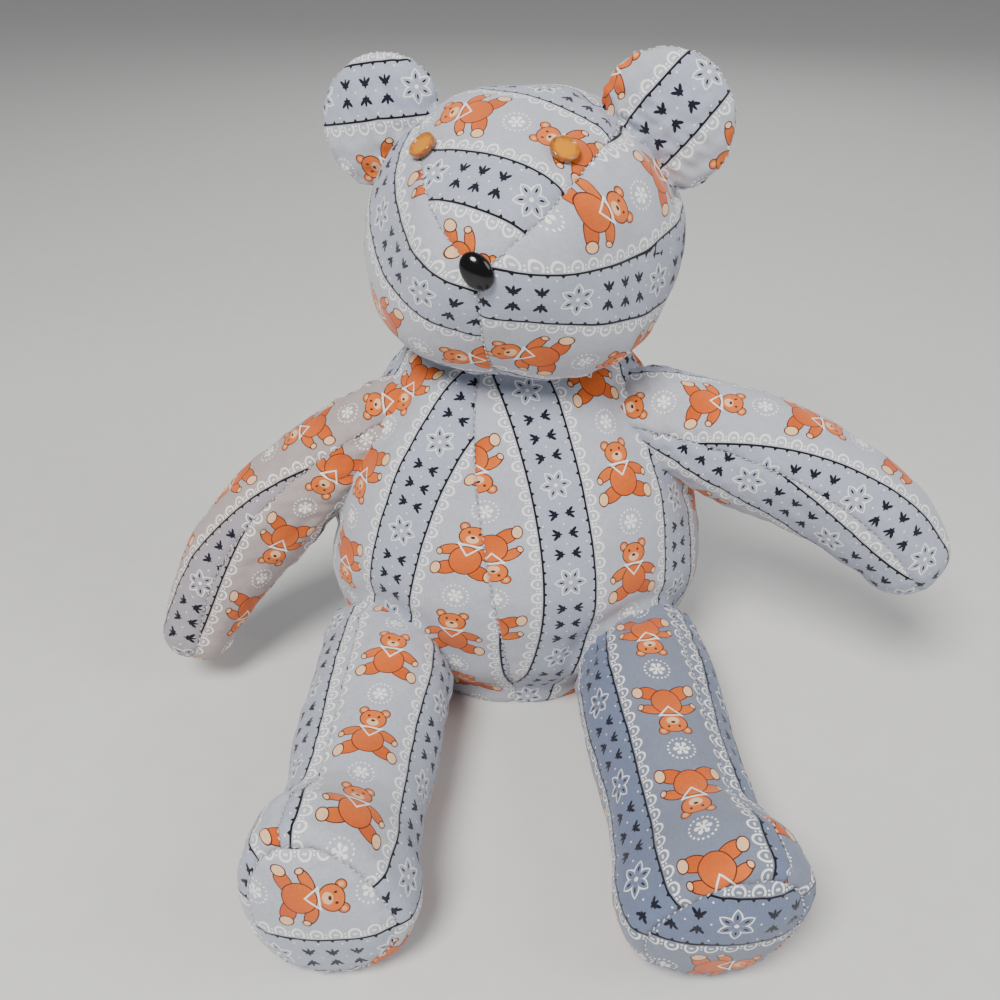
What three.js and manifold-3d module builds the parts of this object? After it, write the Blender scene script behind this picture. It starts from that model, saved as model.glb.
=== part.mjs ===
// A seated keepsake teddy bear, sewn from printed cotton panels over loose stuffing.
//
// Row frame: millimetres, +Z up, the bear facing -Y, +X on the bear's own left. The model is drawn
// about the middle of its seat and moved at the end, so that the origin is the middle of the
// bounding box at floor level.
//
// Every stuffed form (body, head, arm, leg, ear) is one function of two surface coordinates and an
// inset. A cotton panel lies between inset 0 and FABRIC, and the stuffing starts SLACK further in.
// Panels meet GAP apart along their seams. The head and limbs are cut back to JOIN from the body,
// and the ears to JOIN from the head, so that each is open where it is sewn on.

import * as THREE from 'three';
import * as BufferGeometryUtils from 'three/addons/utils/BufferGeometryUtils.js';
import Module from 'manifold-3d';

// ---------------------------------------------------------------- driving dimensions

const FABRIC = 1.2; // cotton with its interlining
const GAP = 0.3; // clearance kept where two edges or flat faces meet
const JOIN = 0.5; // clearance where a limb, the head or an ear is sewn to another skin
const SLACK = 2.4; // room between cotton and stuffing, which both have facets
const STUFFING = FABRIC + SLACK; // inset at which a stuffed core begins

const BODY = {
  seat: new THREE.Vector3(0, 0, 2),
  lean: THREE.MathUtils.degToRad(14),
  length: 190,
  stations: [0, 0.12, 0.35, 0.6, 0.8, 0.93, 1],
  halfWidth: [55, 86, 98, 93, 76, 56, 36],
  front: [40, 62, 74, 66, 52, 40, 28],
  back: [36, 56, 62, 58, 50, 40, 28],
  bottomCap: 0.13, // share of the length in the rounded seat and in the rounded top
  topCap: 0.06,
  squareness: 2.15,
  frontSeamTurn: THREE.MathUtils.degToRad(19), // how far its top is turned towards the bear's right
};

const HEAD = {
  centre: new THREE.Vector3(3, 34, 236),
  turn: THREE.MathUtils.degToRad(14), // towards the bear's right
  tilt: THREE.MathUtils.degToRad(6), // muzzle up
  radius: new THREE.Vector3(74, 66, 64),
  chinDrop: 67,
  jowl: 0.55, // how much squarer the head is below its middle
  jowlDepth: 0.5, // the downward share of a direction at which the jowl is full
  muzzle: 17,
  muzzleSpread: THREE.MathUtils.degToRad(34),
  gussetAngles: [0, 5, 15, 30, 50, 70, 100, 150, 200, 240], // from the nose over the top to the nape
  gussetHalfWidths: [1.5, 7, 17, 27, 35.5, 40, 40, 33, 22, 8],
};

const EAR = {
  radius: 31.5,
  halfThickness: 9.5,
  edge: 0.985,
  waddingShare: 0.85,
  waddingEdge: 0.98, // less than 1, so that the wadding's rim keeps a little thickness
  splay: 0.62, // how far each ear points out, against how far it points up
  rise: 0.78,
  lift: 6,
};
const EARS = {
  left: { side: 1, centre: new THREE.Vector3(57, -3, 45) },
  right: { side: -1, centre: new THREE.Vector3(-62, -3, 38) },
};

const ARM = {
  stations: [0, 0.25, 0.6, 0.85, 1],
  frontToBack: 0.92,
  tipLength: 0.9,
  panelEnd: 1.97, // how far over the tip the cotton and the stuffing are drawn, where 2 is its point
  stuffingEnd: 1.9,
};
const ARMS = {
  left: {
    side: 1,
    spine: [[46, 22, 142], [100, 10, 142], [160, -18, 132], [188, -34, 96]],
    radii: [30, 30, 29, 26, 22],
    seam: THREE.MathUtils.degToRad(18),
  },
  right: {
    side: -1,
    spine: [[-48, 24, 142], [-98, 20, 120], [-150, 4, 86], [-168, -16, 36]],
    radii: [30, 28, 26.5, 24, 20],
    seam: THREE.MathUtils.degToRad(36),
  },
};

const LEG = {
  stations: [0, 0.45, 0.74, 0.81, 0.89, 0.97, 1],
  halfWidth: [36, 35, 33, 33, 35, 33, 28],
  toe: [35, 33, 32, 38, 48, 49, 43],
  heel: [35, 33, 30, 31, 33, 30, 25],
  soleBulge: 7,
  leanStart: 0.6,
  root: 0.08,
};
const LEGS = {
  left: { side: 1, hip: [60, 0, 37], foot: [75, -199, 31], roll: THREE.MathUtils.degToRad(30), lean: 0.08 },
  right: { side: -1, hip: [-63, 0, 37], foot: [-76, -193, 31], roll: THREE.MathUtils.degToRad(20), lean: -0.12 },
};

const EYE = {
  radius: 6.3,
  rim: 2.7,
  face: 1.9,
  rimWidth: 1.1,
  lift: 0.5, // height of the button's back over the skin
  foot: 0.8, // height and inset of its rounded back edge
  footShare: 0.8,
  up: THREE.MathUtils.degToRad(41), // place on the head
  out: { left: THREE.MathUtils.degToRad(22), right: THREE.MathUtils.degToRad(-29) },
  shankRadius: 1.8,
  shankWire: 0.7,
  threadRadius: 2.4,
  threadWire: 0.45,
  hole: 3,
  pocketRadius: 3.6,
  pocketDepth: 10,
};

const NOSE = {
  halfWidth: 6.4,
  halfHeight: 8.4,
  depth: 5.2,
  lift: 0.4, // height of its back over the skin
  edge: 1, // height of its rounded edge
  footShare: 0.86,
  roll: THREE.MathUtils.degToRad(40),
  postRadius: 2,
  postLength: 14,
  hole: 2.6,
  washerRadius: 8.5,
  washerThickness: 1.6,
  washerDepth: 5,
  pocketRadius: 9.2,
  pocketDepth: 16,
};

// How finely each surface is divided.
const STEPS = {
  bodyRows: 11,
  capRows: 3,
  bodyColumns: 8,
  headRound: 30,
  headSide: 7,
  headCore: 14,
  gussetRows: 18,
  gussetColumns: 7,
  limbRows: 7,
  limbTip: 4,
  limbColumns: 7,
  legRows: 10,
  soleRings: 4,
  ear: 7,
  round: 20,
  wire: 12,
  section: 6,
};

const WELD = 1e-3; // corners closer together than this are one

const wasm = await Module();
wasm.setup();

// ---------------------------------------------------------------- numbers and curves

const UP = new THREE.Vector3(0, 0, 1);

/** The value at x of a smooth curve through the stations that never overshoots its points. */
function profile(stations, values, x) {
  const slopes = values.slice(1).map((v, i) => (v - values[i]) / (stations[i + 1] - stations[i]));
  const tangent = (i) => {
    if (i === 0) return slopes[0];
    if (i === values.length - 1) return slopes[i - 1];
    const [before, after] = [slopes[i - 1], slopes[i]];
    return before * after > 0 ? (2 * before * after) / (before + after) : 0;
  };
  let i = 0;
  while (i < stations.length - 2 && x > stations[i + 1]) i++;
  const h = stations[i + 1] - stations[i];
  const t = THREE.MathUtils.clamp((x - stations[i]) / h, 0, 1);
  const [t2, t3] = [t * t, t * t * t];
  return (2 * t3 - 3 * t2 + 1) * values[i] + (t3 - 2 * t2 + t) * h * tangent(i)
    + (3 * t2 - 2 * t3) * values[i + 1] + (t3 - t2) * h * tangent(i + 1);
}

/** count + 1 evenly spaced values from a to b. */
function spaced(a, b, count) {
  return Array.from({ length: count + 1 }, (_, i) => a + ((b - a) * i) / count);
}

// ---------------------------------------------------------------- closed solids from grids of points

/** A copy with only its positions, its shared corners joined and its empty triangles left out. */
function welded(geometry) {
  const copy = geometry.clone();
  copy.deleteAttribute('normal');
  copy.deleteAttribute('uv');
  const merged = BufferGeometryUtils.mergeVertices(copy, WELD);
  const index = Array.from(merged.index.array);
  const kept = [];
  for (let i = 0; i < index.length; i += 3) {
    const [a, b, c] = index.slice(i, i + 3);
    if (a !== b && b !== c && c !== a) kept.push(a, b, c);
  }
  return merged.setIndex(kept);
}

/** A closed solid from patches, each a grid of points wound the same way. */
function solidFrom(patches) {
  const corners = [];
  for (const grid of patches) {
    for (let i = 0; i < grid.length - 1; i++) {
      for (let j = 0; j < grid[0].length - 1; j++) {
        const [a, b, c, d] = [grid[i][j], grid[i + 1][j], grid[i + 1][j + 1], grid[i][j + 1]];
        corners.push(a, b, c, a, c, d);
      }
    }
  }
  return facingOut(welded(new THREE.BufferGeometry().setFromPoints(corners)));
}

/** The geometry with its faces turned to point out of the solid. */
function facingOut(geometry) {
  const position = geometry.attributes.position;
  const index = Array.from(geometry.index.array);
  const [a, b, c] = [new THREE.Vector3(), new THREE.Vector3(), new THREE.Vector3()];
  let volume = 0;
  for (let i = 0; i < index.length; i += 3) {
    a.fromBufferAttribute(position, index[i]);
    b.fromBufferAttribute(position, index[i + 1]);
    c.fromBufferAttribute(position, index[i + 2]);
    volume += a.dot(b.cross(c));
  }
  if (volume < 0) {
    for (let i = 0; i < index.length; i += 3) [index[i], index[i + 1]] = [index[i + 1], index[i]];
    geometry.setIndex(index);
  }
  return geometry;
}

/** A sheet with thickness, between two grids. A closed one joins its last column to its first. */
function panel(outer, inner, closed = false) {
  const last = outer.length - 1;
  const side = outer[0].length - 1;
  const back = inner.map((row) => [...row].reverse());
  const walls = [[outer[last], inner[last]]];
  if (!closed) {
    walls.push([inner[0], outer[0]]);
    walls.push(outer.map((row, i) => [inner[i][0], row[0]]));
    walls.push(outer.map((row, i) => [row[side], inner[i][side]]));
  }
  return solidFrom([outer, back, ...walls]);
}

/** A grid of points from a function of the row value and the column value. */
function grid(rows, columns, point) {
  return rows.map((u) => columns.map((v) => point(u, v)));
}

/** A manifold solid of a geometry, placed by a matrix if one is given. */
function asManifold(geometry, matrix = new THREE.Matrix4()) {
  const placed = geometry.clone().applyMatrix4(matrix);
  placed.deleteAttribute('normal');
  placed.deleteAttribute('uv');
  const merged = BufferGeometryUtils.mergeVertices(placed, WELD);
  return new wasm.Manifold(new wasm.Mesh({
    numProp: 3,
    vertProperties: new Float32Array(merged.attributes.position.array),
    triVerts: new Uint32Array(merged.index.array),
  }));
}

/** The geometry of a manifold solid. */
function fromManifold(solid) {
  const mesh = solid.getMesh();
  const geometry = new THREE.BufferGeometry();
  geometry.setAttribute('position', new THREE.BufferAttribute(mesh.vertProperties, 3));
  geometry.setIndex(new THREE.BufferAttribute(mesh.triVerts, 1));
  return geometry;
}

/** A geometry less the tools, each {geometry, matrix}. */
function cut(geometry, tools) {
  const start = asManifold(geometry);
  return fromManifold(tools.reduce((solid, t) => solid.subtract(asManifold(t.geometry, t.matrix)), start));
}

// ---------------------------------------------------------------- the stuffed forms

const BODY_AXIS = new THREE.Vector3(0, Math.sin(BODY.lean), Math.cos(BODY.lean));
const BODY_FRONT = new THREE.Vector3(0, -Math.cos(BODY.lean), Math.sin(BODY.lean));

/** Half width, front depth and back depth of the body at a share of its length. */
function bodySection(share, inset) {
  const s = THREE.MathUtils.clamp(share, 0, 1);
  const past = share < 0 ? -share / (BODY.bottomCap - inset / BODY.length)
    : Math.max(0, share - 1) / (BODY.topCap - inset / BODY.length);
  const round = Math.sqrt(Math.max(0, 1 - past * past));
  const at = (values) => (profile(BODY.stations, values, s) - inset) * round;
  return { width: at(BODY.halfWidth), front: at(BODY.front), back: at(BODY.back) };
}

/** A point of the body's skin: share of its length, and angle from the bear's left over the belly. */
function bodyPoint(share, angle, inset) {
  const { width, front, back } = bodySection(share, inset);
  const [c, s] = [Math.cos(angle), Math.sin(angle)];
  const n = BODY.squareness;
  const scale = (Math.abs(c) ** n + Math.abs(s) ** n) ** (-1 / n);
  const point = BODY.seat.clone().addScaledVector(BODY_AXIS, BODY.length * share);
  point.x += width * c * scale;
  point.addScaledVector(BODY_FRONT, (s > 0 ? front : back) * s * scale);
  point.z = Math.max(point.z, inset);
  return point;
}

/** Turns a vector from the head's own axes into the bear's. */
function headToBear(v) {
  return v.applyAxisAngle(new THREE.Vector3(1, 0, 0), -HEAD.tilt).applyAxisAngle(UP, -HEAD.turn);
}

/** Distance from the head's centre to its skin along a unit direction in the head's own axes. */
function headRadius(d) {
  const n = d.z > 0 ? 2 : 2 + HEAD.jowl * Math.min(1, -d.z / HEAD.jowlDepth);
  const zRadius = d.z > 0 ? HEAD.radius.z : HEAD.chinDrop;
  const sum = Math.abs(d.x / HEAD.radius.x) ** n + Math.abs(d.y / HEAD.radius.y) ** n
    + Math.abs(d.z / zRadius) ** n;
  const fromMuzzle = Math.acos(THREE.MathUtils.clamp(-d.y, -1, 1));
  return sum ** (-1 / n) + HEAD.muzzle * Math.exp(-((fromMuzzle / HEAD.muzzleSpread) ** 2));
}

/** A point of the head's skin: up is the angle from the muzzle over the top, out towards an ear. */
function headPoint(up, out, inset) {
  const d = new THREE.Vector3(Math.sin(out), -Math.cos(out) * Math.cos(up), Math.cos(out) * Math.sin(up));
  const radius = headRadius(d) - inset;
  return HEAD.centre.clone().addScaledVector(headToBear(d), radius);
}

/** A point of an arm: t runs 0 to 1 along its middle line and 1 to 2 over its tip. */
function armPoint(arm, t, angle, inset) {
  const along = Math.min(t, 1);
  const line = new THREE.CubicBezierCurve3(...arm.spine.map((p) => new THREE.Vector3(...p)));
  const centre = line.getPoint(along);
  const ahead = line.getTangent(along);
  const front = ahead.clone().cross(UP).normalize().multiplyScalar(arm.side);
  const top = front.clone().cross(ahead).normalize().multiplyScalar(arm.side);
  const over = (Math.max(0, t - 1) * Math.PI) / 2;
  const radius = profile(ARM.stations, arm.radii, along) - inset;
  const ring = radius * Math.cos(over);
  return centre.addScaledVector(ahead, radius * ARM.tipLength * Math.sin(over))
    .addScaledVector(front, ring * Math.cos(angle) * ARM.frontToBack)
    .addScaledVector(top, ring * Math.sin(angle));
}

/** The leg's own axes: along it, and towards its outer side and its toe, which rolls outwards. */
function legAxes(leg) {
  const ahead = new THREE.Vector3(...leg.foot).sub(new THREE.Vector3(...leg.hip)).setZ(0).normalize();
  const across = ahead.clone().cross(UP).multiplyScalar(-leg.side);
  const toe = UP.clone().multiplyScalar(Math.cos(leg.roll)).addScaledVector(across, Math.sin(leg.roll));
  const outer = across.multiplyScalar(Math.cos(leg.roll)).addScaledVector(UP, -Math.sin(leg.roll));
  return { ahead, outer, toe };
}

/** A point of a leg: t runs 0 to 1 from the hip to the sole's edge; the angle is 90 degrees at the toe. */
function legPoint(leg, t, angle, inset) {
  const { ahead, outer, toe } = legAxes(leg);
  const at = (values) => profile(LEG.stations, values, t) - inset;
  const [c, s] = [Math.cos(angle), Math.sin(angle)];
  const offset = outer.multiplyScalar(at(LEG.halfWidth) * c)
    .addScaledVector(toe, at(s > 0 ? LEG.toe : LEG.heel) * s);
  const shift = leg.lean * offset.z * THREE.MathUtils.smoothstep(t, LEG.leanStart, 1);
  const point = new THREE.Vector3(...leg.hip).lerp(new THREE.Vector3(...leg.foot), t)
    .add(offset).addScaledVector(ahead, shift);
  point.z = Math.max(point.z, inset);
  return point;
}

/** A point of the sole: share runs 0 to 1 from its middle to its edge, and depth lies ahead of it. */
function solePoint(leg, share, angle, inset, depth) {
  const middle = legPoint(leg, 1, Math.PI / 2, inset).add(legPoint(leg, 1, -Math.PI / 2, inset))
    .multiplyScalar(0.5);
  const point = middle.lerp(legPoint(leg, 1, angle, inset), share);
  return point.addScaledVector(legAxes(leg).ahead, depth + LEG.soleBulge * (1 - share * share));
}

/** A point of an ear, from its own flat coordinates and its distance in front of its middle plane. */
function earPoint(ear, x, y, forward) {
  const out = new THREE.Vector3(EAR.splay * ear.side, 0, EAR.rise).normalize();
  const across = new THREE.Vector3(EAR.rise, 0, -EAR.splay * ear.side).normalize();
  const local = ear.centre.clone().addScaledVector(across, x).addScaledVector(out, y + EAR.lift);
  local.y -= forward;
  return HEAD.centre.clone().add(headToBear(local));
}

/** Half the ear's thickness at a place on it. */
function earBulge(x, y) {
  const away = Math.hypot(x, y) / EAR.radius;
  return EAR.halfThickness * Math.sqrt(Math.max(0, 1 - away * away));
}

// ---------------------------------------------------------------- body

/** Shares of the body's length from one end to the other, closer together over the rounded ends. */
function bodyRows(bottomCap, topCap, end) {
  const rounds = spaced(0, Math.PI / 2, STEPS.capRows).slice(1, -1).concat(end).map(Math.sin);
  const seat = rounds.map((r) => -bottomCap * r).reverse();
  return [...seat, ...spaced(0, 1, STEPS.bodyRows), ...rounds.map((r) => 1 + topCap * r)];
}

/** An angle round the body, moved so that the front seam leans over as it climbs. */
function leant(share, angle) {
  return angle + BODY.frontSeamTurn * THREE.MathUtils.clamp(share, 0, 1) * Math.max(0, Math.sin(angle));
}

/** The four body panels are quarters, with seams down the front, the back and each side. */
function bodyPanel(quarter) {
  const rows = bodyRows(BODY.bottomCap, BODY.topCap, THREE.MathUtils.degToRad(87));
  const surface = (inset) => rows.map((share) => {
    const { width, front } = bodySection(share, 0);
    const seam = Math.asin(Math.min(0.5, GAP / 2 / Math.min(width, front)));
    const from = (quarter * Math.PI) / 2 + seam;
    return spaced(from, from + Math.PI / 2 - 2 * seam, STEPS.bodyColumns)
      .map((angle) => bodyPoint(share, leant(share, angle), inset));
  });
  return panel(surface(0), surface(FABRIC));
}

/** The whole body as one solid, at an inset. */
function bodySolid(inset) {
  const shrink = inset / BODY.length;
  const rows = bodyRows(BODY.bottomCap - shrink, BODY.topCap - shrink, Math.PI / 2);
  const columns = spaced(0, 2 * Math.PI, 4 * STEPS.bodyColumns);
  return solidFrom([grid(rows, columns, (share, angle) => bodyPoint(share, angle, inset))]);
}

/** A geometry cut back to where it is sewn to the body. */
const sewnToBody = (geometry) => cut(geometry, [{ geometry: bodySolid(-JOIN) }]);

// ---------------------------------------------------------------- head

/** Half the gusset's width, as an angle, at an angle up from the nose. */
function gussetHalfWidth(up) {
  const degrees = profile(HEAD.gussetAngles, HEAD.gussetHalfWidths, THREE.MathUtils.radToDeg(up));
  return THREE.MathUtils.degToRad(degrees);
}

const HEAD_ROUND_STEPS = 1.6; // columns of the head's solid for each of its rows
const NAPE = THREE.MathUtils.degToRad(HEAD.gussetAngles.at(-1));
const HEAD_SEAM = GAP / 2 / HEAD.radius.z;

function headGusset() {
  const rows = [2 * HEAD_SEAM, ...spaced(0, NAPE, STEPS.gussetRows).slice(1)];
  const surface = (inset) => rows.map((up) => {
    const half = gussetHalfWidth(up) - HEAD_SEAM;
    return spaced(-half, half, STEPS.gussetColumns).map((out) => headPoint(up, out, inset));
  });
  return sewnToBody(cut(panel(surface(0), surface(FABRIC)), [...eyeHoles(), noseHole()]));
}

/** A side panel is a disc about the side of the head, out to the gusset and the chin seam. */
function headSide(side) {
  const onGusset = spaced(0, NAPE, STEPS.gussetRows);
  const underChin = spaced(NAPE, 2 * Math.PI, STEPS.headRound - STEPS.gussetRows).slice(1, -1);
  const columns = [...onGusset, ...underChin, 0];
  const surface = (inset) => spaced(0, 1, STEPS.headSide).map((share) => columns.map((up) => {
    const edge = (up <= NAPE ? gussetHalfWidth(up) : 0) + HEAD_SEAM;
    return headPoint(up, side * THREE.MathUtils.lerp(Math.PI / 2, edge, share), inset);
  }));
  return sewnToBody(cut(panel(surface(0), surface(FABRIC), true), [noseHole()]));
}

/** The whole head as one solid, at an inset. */
function headSolid(inset, steps) {
  const rows = spaced(-Math.PI / 2, Math.PI / 2, steps);
  const columns = spaced(0, 2 * Math.PI, Math.round(HEAD_ROUND_STEPS * steps));
  return solidFrom([grid(rows, columns, (out, up) => headPoint(up, out, inset))]);
}

function headStuffing() {
  const pockets = [-1, 1].map((side) => bored(eyePlace(side), EYE.pocketRadius, EYE.pocketDepth));
  pockets.push(bored(nosePlace(), NOSE.pocketRadius, NOSE.pocketDepth));
  return sewnToBody(cut(headSolid(STUFFING, STEPS.headCore), pockets));
}

// ---------------------------------------------------------------- eyes and nose

const SLOPE_STEP = 0.02; // radians each way, to find which way the skin faces
const HOLE_BELOW = 1; // how far a hole in the cotton is bored past it

/** Where a button sits on the head: its matrix turns +Z to the skin's outward normal. */
function headPlace(up, out) {
  const here = headPoint(up, out, 0);
  const upward = headPoint(up + SLOPE_STEP, out, 0).sub(headPoint(up - SLOPE_STEP, out, 0)).normalize();
  const outward = headPoint(up, out + SLOPE_STEP, 0).sub(headPoint(up, out - SLOPE_STEP, 0)).normalize();
  const normal = outward.cross(upward).normalize();
  if (normal.dot(here.clone().sub(HEAD.centre)) < 0) normal.negate();
  const side = upward.clone().cross(normal);
  return new THREE.Matrix4().makeBasis(side, normal.clone().cross(side), normal).setPosition(here);
}

const eyePlace = (side) => headPlace(EYE.up, side > 0 ? EYE.out.left : EYE.out.right);
const nosePlace = () => headPlace(0, 0);

/** A cylinder that bores down from above the skin to a depth below it. */
function bored(place, radius, depth) {
  const above = 5;
  const geometry = new THREE.CylinderGeometry(radius, radius, depth + above, STEPS.wire);
  geometry.rotateX(Math.PI / 2).translate(0, 0, (above - depth) / 2);
  return { geometry, matrix: place };
}

const eyeHoles = () => [-1, 1].map((side) => bored(eyePlace(side), EYE.hole, FABRIC + HOLE_BELOW));
const noseHole = () => bored(nosePlace(), NOSE.hole, FABRIC + 2 * HOLE_BELOW);

/** A closed solid turned about Z from a half outline of [radius, height] points. */
function turned(outline, segments) {
  const points = outline.map(([radius, height]) => new THREE.Vector2(radius, height));
  return new THREE.LatheGeometry(points, segments).rotateX(Math.PI / 2);
}

/** The eye: a dished button with a raised rim, and a wire shank behind it. */
function eyeButton() {
  const { radius, rim, rimWidth, lift, foot, footShare, face } = EYE;
  const disc = turned([
    [0, lift], [radius * footShare, lift], [radius, lift + foot], [radius, lift + (rim + face) / 2],
    [radius - rimWidth / 2, lift + rim], [radius - rimWidth, lift + face], [0, lift + face],
  ], STEPS.round);
  const shank = new THREE.TorusGeometry(EYE.shankRadius, EYE.shankWire, STEPS.section, STEPS.wire)
    .rotateX(Math.PI / 2).translate(0, 0, -EYE.shankRadius);
  return fromManifold(asManifold(facingOut(welded(disc))).add(asManifold(shank)));
}

/** The loop of sewing thread that passes through the shank and is drawn into the stuffing. */
function eyeThread() {
  return new THREE.TorusGeometry(EYE.threadRadius, EYE.threadWire, STEPS.section, STEPS.wire)
    .rotateY(Math.PI / 2).translate(0, 0, -EYE.shankRadius - EYE.threadRadius);
}

/** The nose: a domed oval with its locking post behind it. */
function noseButton() {
  const { lift, edge, footShare, depth, postRadius, postLength } = NOSE;
  const dome = spaced(0, Math.PI / 2, STEPS.section - 1)
    .map((a) => [Math.cos(a), lift + edge + (depth - edge) * Math.sin(a)]);
  const oval = turned([[0, lift], [footShare, lift], ...dome], STEPS.round)
    .scale(NOSE.halfWidth, NOSE.halfHeight, 1).rotateZ(NOSE.roll);
  const post = new THREE.CylinderGeometry(postRadius, postRadius, postLength, STEPS.wire)
    .rotateX(Math.PI / 2).translate(0, 0, edge - postLength / 2);
  return fromManifold(asManifold(facingOut(welded(oval))).add(asManifold(post)));
}

function noseWasher() {
  const [inner, outer] = [NOSE.postRadius + GAP, NOSE.washerRadius];
  const [back, front] = [-NOSE.washerDepth - NOSE.washerThickness, -NOSE.washerDepth];
  return turned([[inner, back], [outer, back], [outer, front], [inner, front], [inner, back]], STEPS.round);
}

// ---------------------------------------------------------------- ears

/** One face of the ear, as columns from one side to the other, at its height above the middle. */
function earFace(ear, face, height, radius) {
  return spaced(-Math.PI / 2, Math.PI / 2, STEPS.ear).map((angle) => {
    const x = radius * EAR.edge * Math.sin(angle);
    const limit = Math.sqrt(radius ** 2 - x ** 2);
    return spaced(-limit, limit, STEPS.ear).map((y) => earPoint(ear, x, y, face * height(x, y)));
  });
}

/** A geometry cut back to where it is sewn to the head. */
const sewnToHead = (geometry) => cut(geometry, [{ geometry: headSolid(-JOIN, STEPS.headRound) }]);

function earPanel(ear, face) {
  const outer = (x, y) => Math.max(earBulge(x, y), GAP / 2 + FABRIC);
  const inner = (x, y) => Math.max(earBulge(x, y) - FABRIC, GAP / 2);
  return sewnToHead(panel(earFace(ear, face, outer, EAR.radius), earFace(ear, face, inner, EAR.radius)));
}

function earWadding(ear) {
  const radius = EAR.radius * EAR.waddingShare;
  const height = (x, y) => {
    const away = Math.hypot(x, y) / radius;
    return (EAR.halfThickness - STUFFING) * Math.sqrt(1 - EAR.waddingEdge * away * away);
  };
  return sewnToHead(panel(earFace(ear, 1, height, radius), earFace(ear, -1, height, radius)));
}

// ---------------------------------------------------------------- arms and legs

/** Half an arm's cotton, from inside the body to its tip. The seams run along its front and back. */
function armPanel(arm, half) {
  const rows = [...spaced(0, 1, STEPS.limbRows), ...spaced(1, ARM.panelEnd, STEPS.limbTip).slice(1)];
  const surface = (inset) => rows.map((t) => {
    const over = (Math.max(0, t - 1) * Math.PI) / 2;
    const seam = Math.asin(GAP / 2 / (arm.radii.at(-1) * Math.cos(over) * ARM.frontToBack));
    const from = arm.seam + half * Math.PI + seam;
    return spaced(from, from + Math.PI - 2 * seam, STEPS.limbColumns)
      .map((angle) => armPoint(arm, t, angle, inset));
  });
  return sewnToBody(panel(surface(0), surface(FABRIC)));
}

/** A closed tube of rings, each a function of the angle, with a point or a flat face at each end. */
function tube(rings) {
  const columns = spaced(0, 2 * Math.PI, 2 * STEPS.limbColumns);
  const rows = rings.map((ring) => columns.map(ring));
  const middle = (row) => row.slice(1).reduce((sum, p) => sum.add(p), new THREE.Vector3())
    .divideScalar(row.length - 1);
  const capped = [rows[0].map(() => middle(rows[0])), ...rows, rows.at(-1).map(() => middle(rows.at(-1)))];
  return solidFrom([capped]);
}

function armStuffing(arm) {
  const rows = [...spaced(0, 1, STEPS.limbRows), ...spaced(1, ARM.stuffingEnd, STEPS.limbTip).slice(1)];
  return sewnToBody(tube(rows.map((t) => (angle) => armPoint(arm, t, angle, STUFFING))));
}

/** Half a leg's cotton, from inside the body to the sole. The seams run over the toe and the heel. */
function legPanel(leg, half) {
  const seam = Math.asin(GAP / 2 / Math.min(...LEG.heel));
  const from = Math.PI / 2 + half * Math.PI + seam;
  const columns = spaced(from, from + Math.PI - 2 * seam, STEPS.limbColumns);
  const surface = (inset) => grid(spaced(LEG.root, 1, STEPS.legRows), columns, (t, angle) => (
    legPoint(leg, t, angle, inset)));
  return sewnToBody(panel(surface(0), surface(FABRIC)));
}

function legSole(leg) {
  const columns = spaced(0, 2 * Math.PI, 2 * STEPS.limbColumns);
  const surface = (depth) => grid(spaced(0, 1, STEPS.soleRings), columns, (share, angle) => (
    solePoint(leg, share, angle, 0, depth)));
  return panel(surface(GAP + FABRIC), surface(GAP), true);
}

/** The stuffing of a leg, which ends in the bulge behind the sole. */
function legStuffing(leg) {
  const sides = spaced(LEG.root, 1, STEPS.legRows).map((t) => (angle) => legPoint(leg, t, angle, STUFFING));
  const end = spaced(1, 0, STEPS.soleRings).slice(1, -1).map((share) => (angle) => (
    solePoint(leg, share, angle, STUFFING, -SLACK)));
  return sewnToBody(tube([...sides, ...end]));
}

// ---------------------------------------------------------------- the bear

const MATERIALS = {
  cotton: new THREE.MeshStandardMaterial({ color: 0xb2b2b8, roughness: 0.85, metalness: 0 }),
  blueCotton: new THREE.MeshStandardMaterial({ color: 0x98a4b4, roughness: 0.85, metalness: 0 }),
  stuffing: new THREE.MeshStandardMaterial({ color: 0xf0eee8, roughness: 1, metalness: 0 }),
  amber: new THREE.MeshStandardMaterial({ color: 0xc8780a, roughness: 0.15, metalness: 0 }),
  thread: new THREE.MeshStandardMaterial({ color: 0xe6e6e6, roughness: 0.8, metalness: 0 }),
  black: new THREE.MeshStandardMaterial({ color: 0x0a0a0c, roughness: 0.1, metalness: 0 }),
  washer: new THREE.MeshStandardMaterial({ color: 0xd8d8d4, roughness: 0.5, metalness: 0 }),
};

const bear = new THREE.Group();

function add(name, geometry, material, place = new THREE.Matrix4(), parent = bear) {
  const mesh = new THREE.Mesh(geometry, material);
  mesh.name = name;
  mesh.applyMatrix4(place);
  parent.add(mesh);
}

['body_front_left', 'body_front_right', 'body_back_right', 'body_back_left']
  .forEach((name, quarter) => add(name, bodyPanel(quarter), MATERIALS.cotton));
add('body_stuffing', bodySolid(STUFFING), MATERIALS.stuffing);

add('head_gusset', headGusset(), MATERIALS.cotton);
add('head_side_left', headSide(1), MATERIALS.cotton);
add('head_side_right', headSide(-1), MATERIALS.cotton);
add('head_stuffing', headStuffing(), MATERIALS.stuffing);
add('nose', noseButton(), MATERIALS.black, nosePlace());
add('nose_washer', noseWasher(), MATERIALS.washer, nosePlace());

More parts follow.
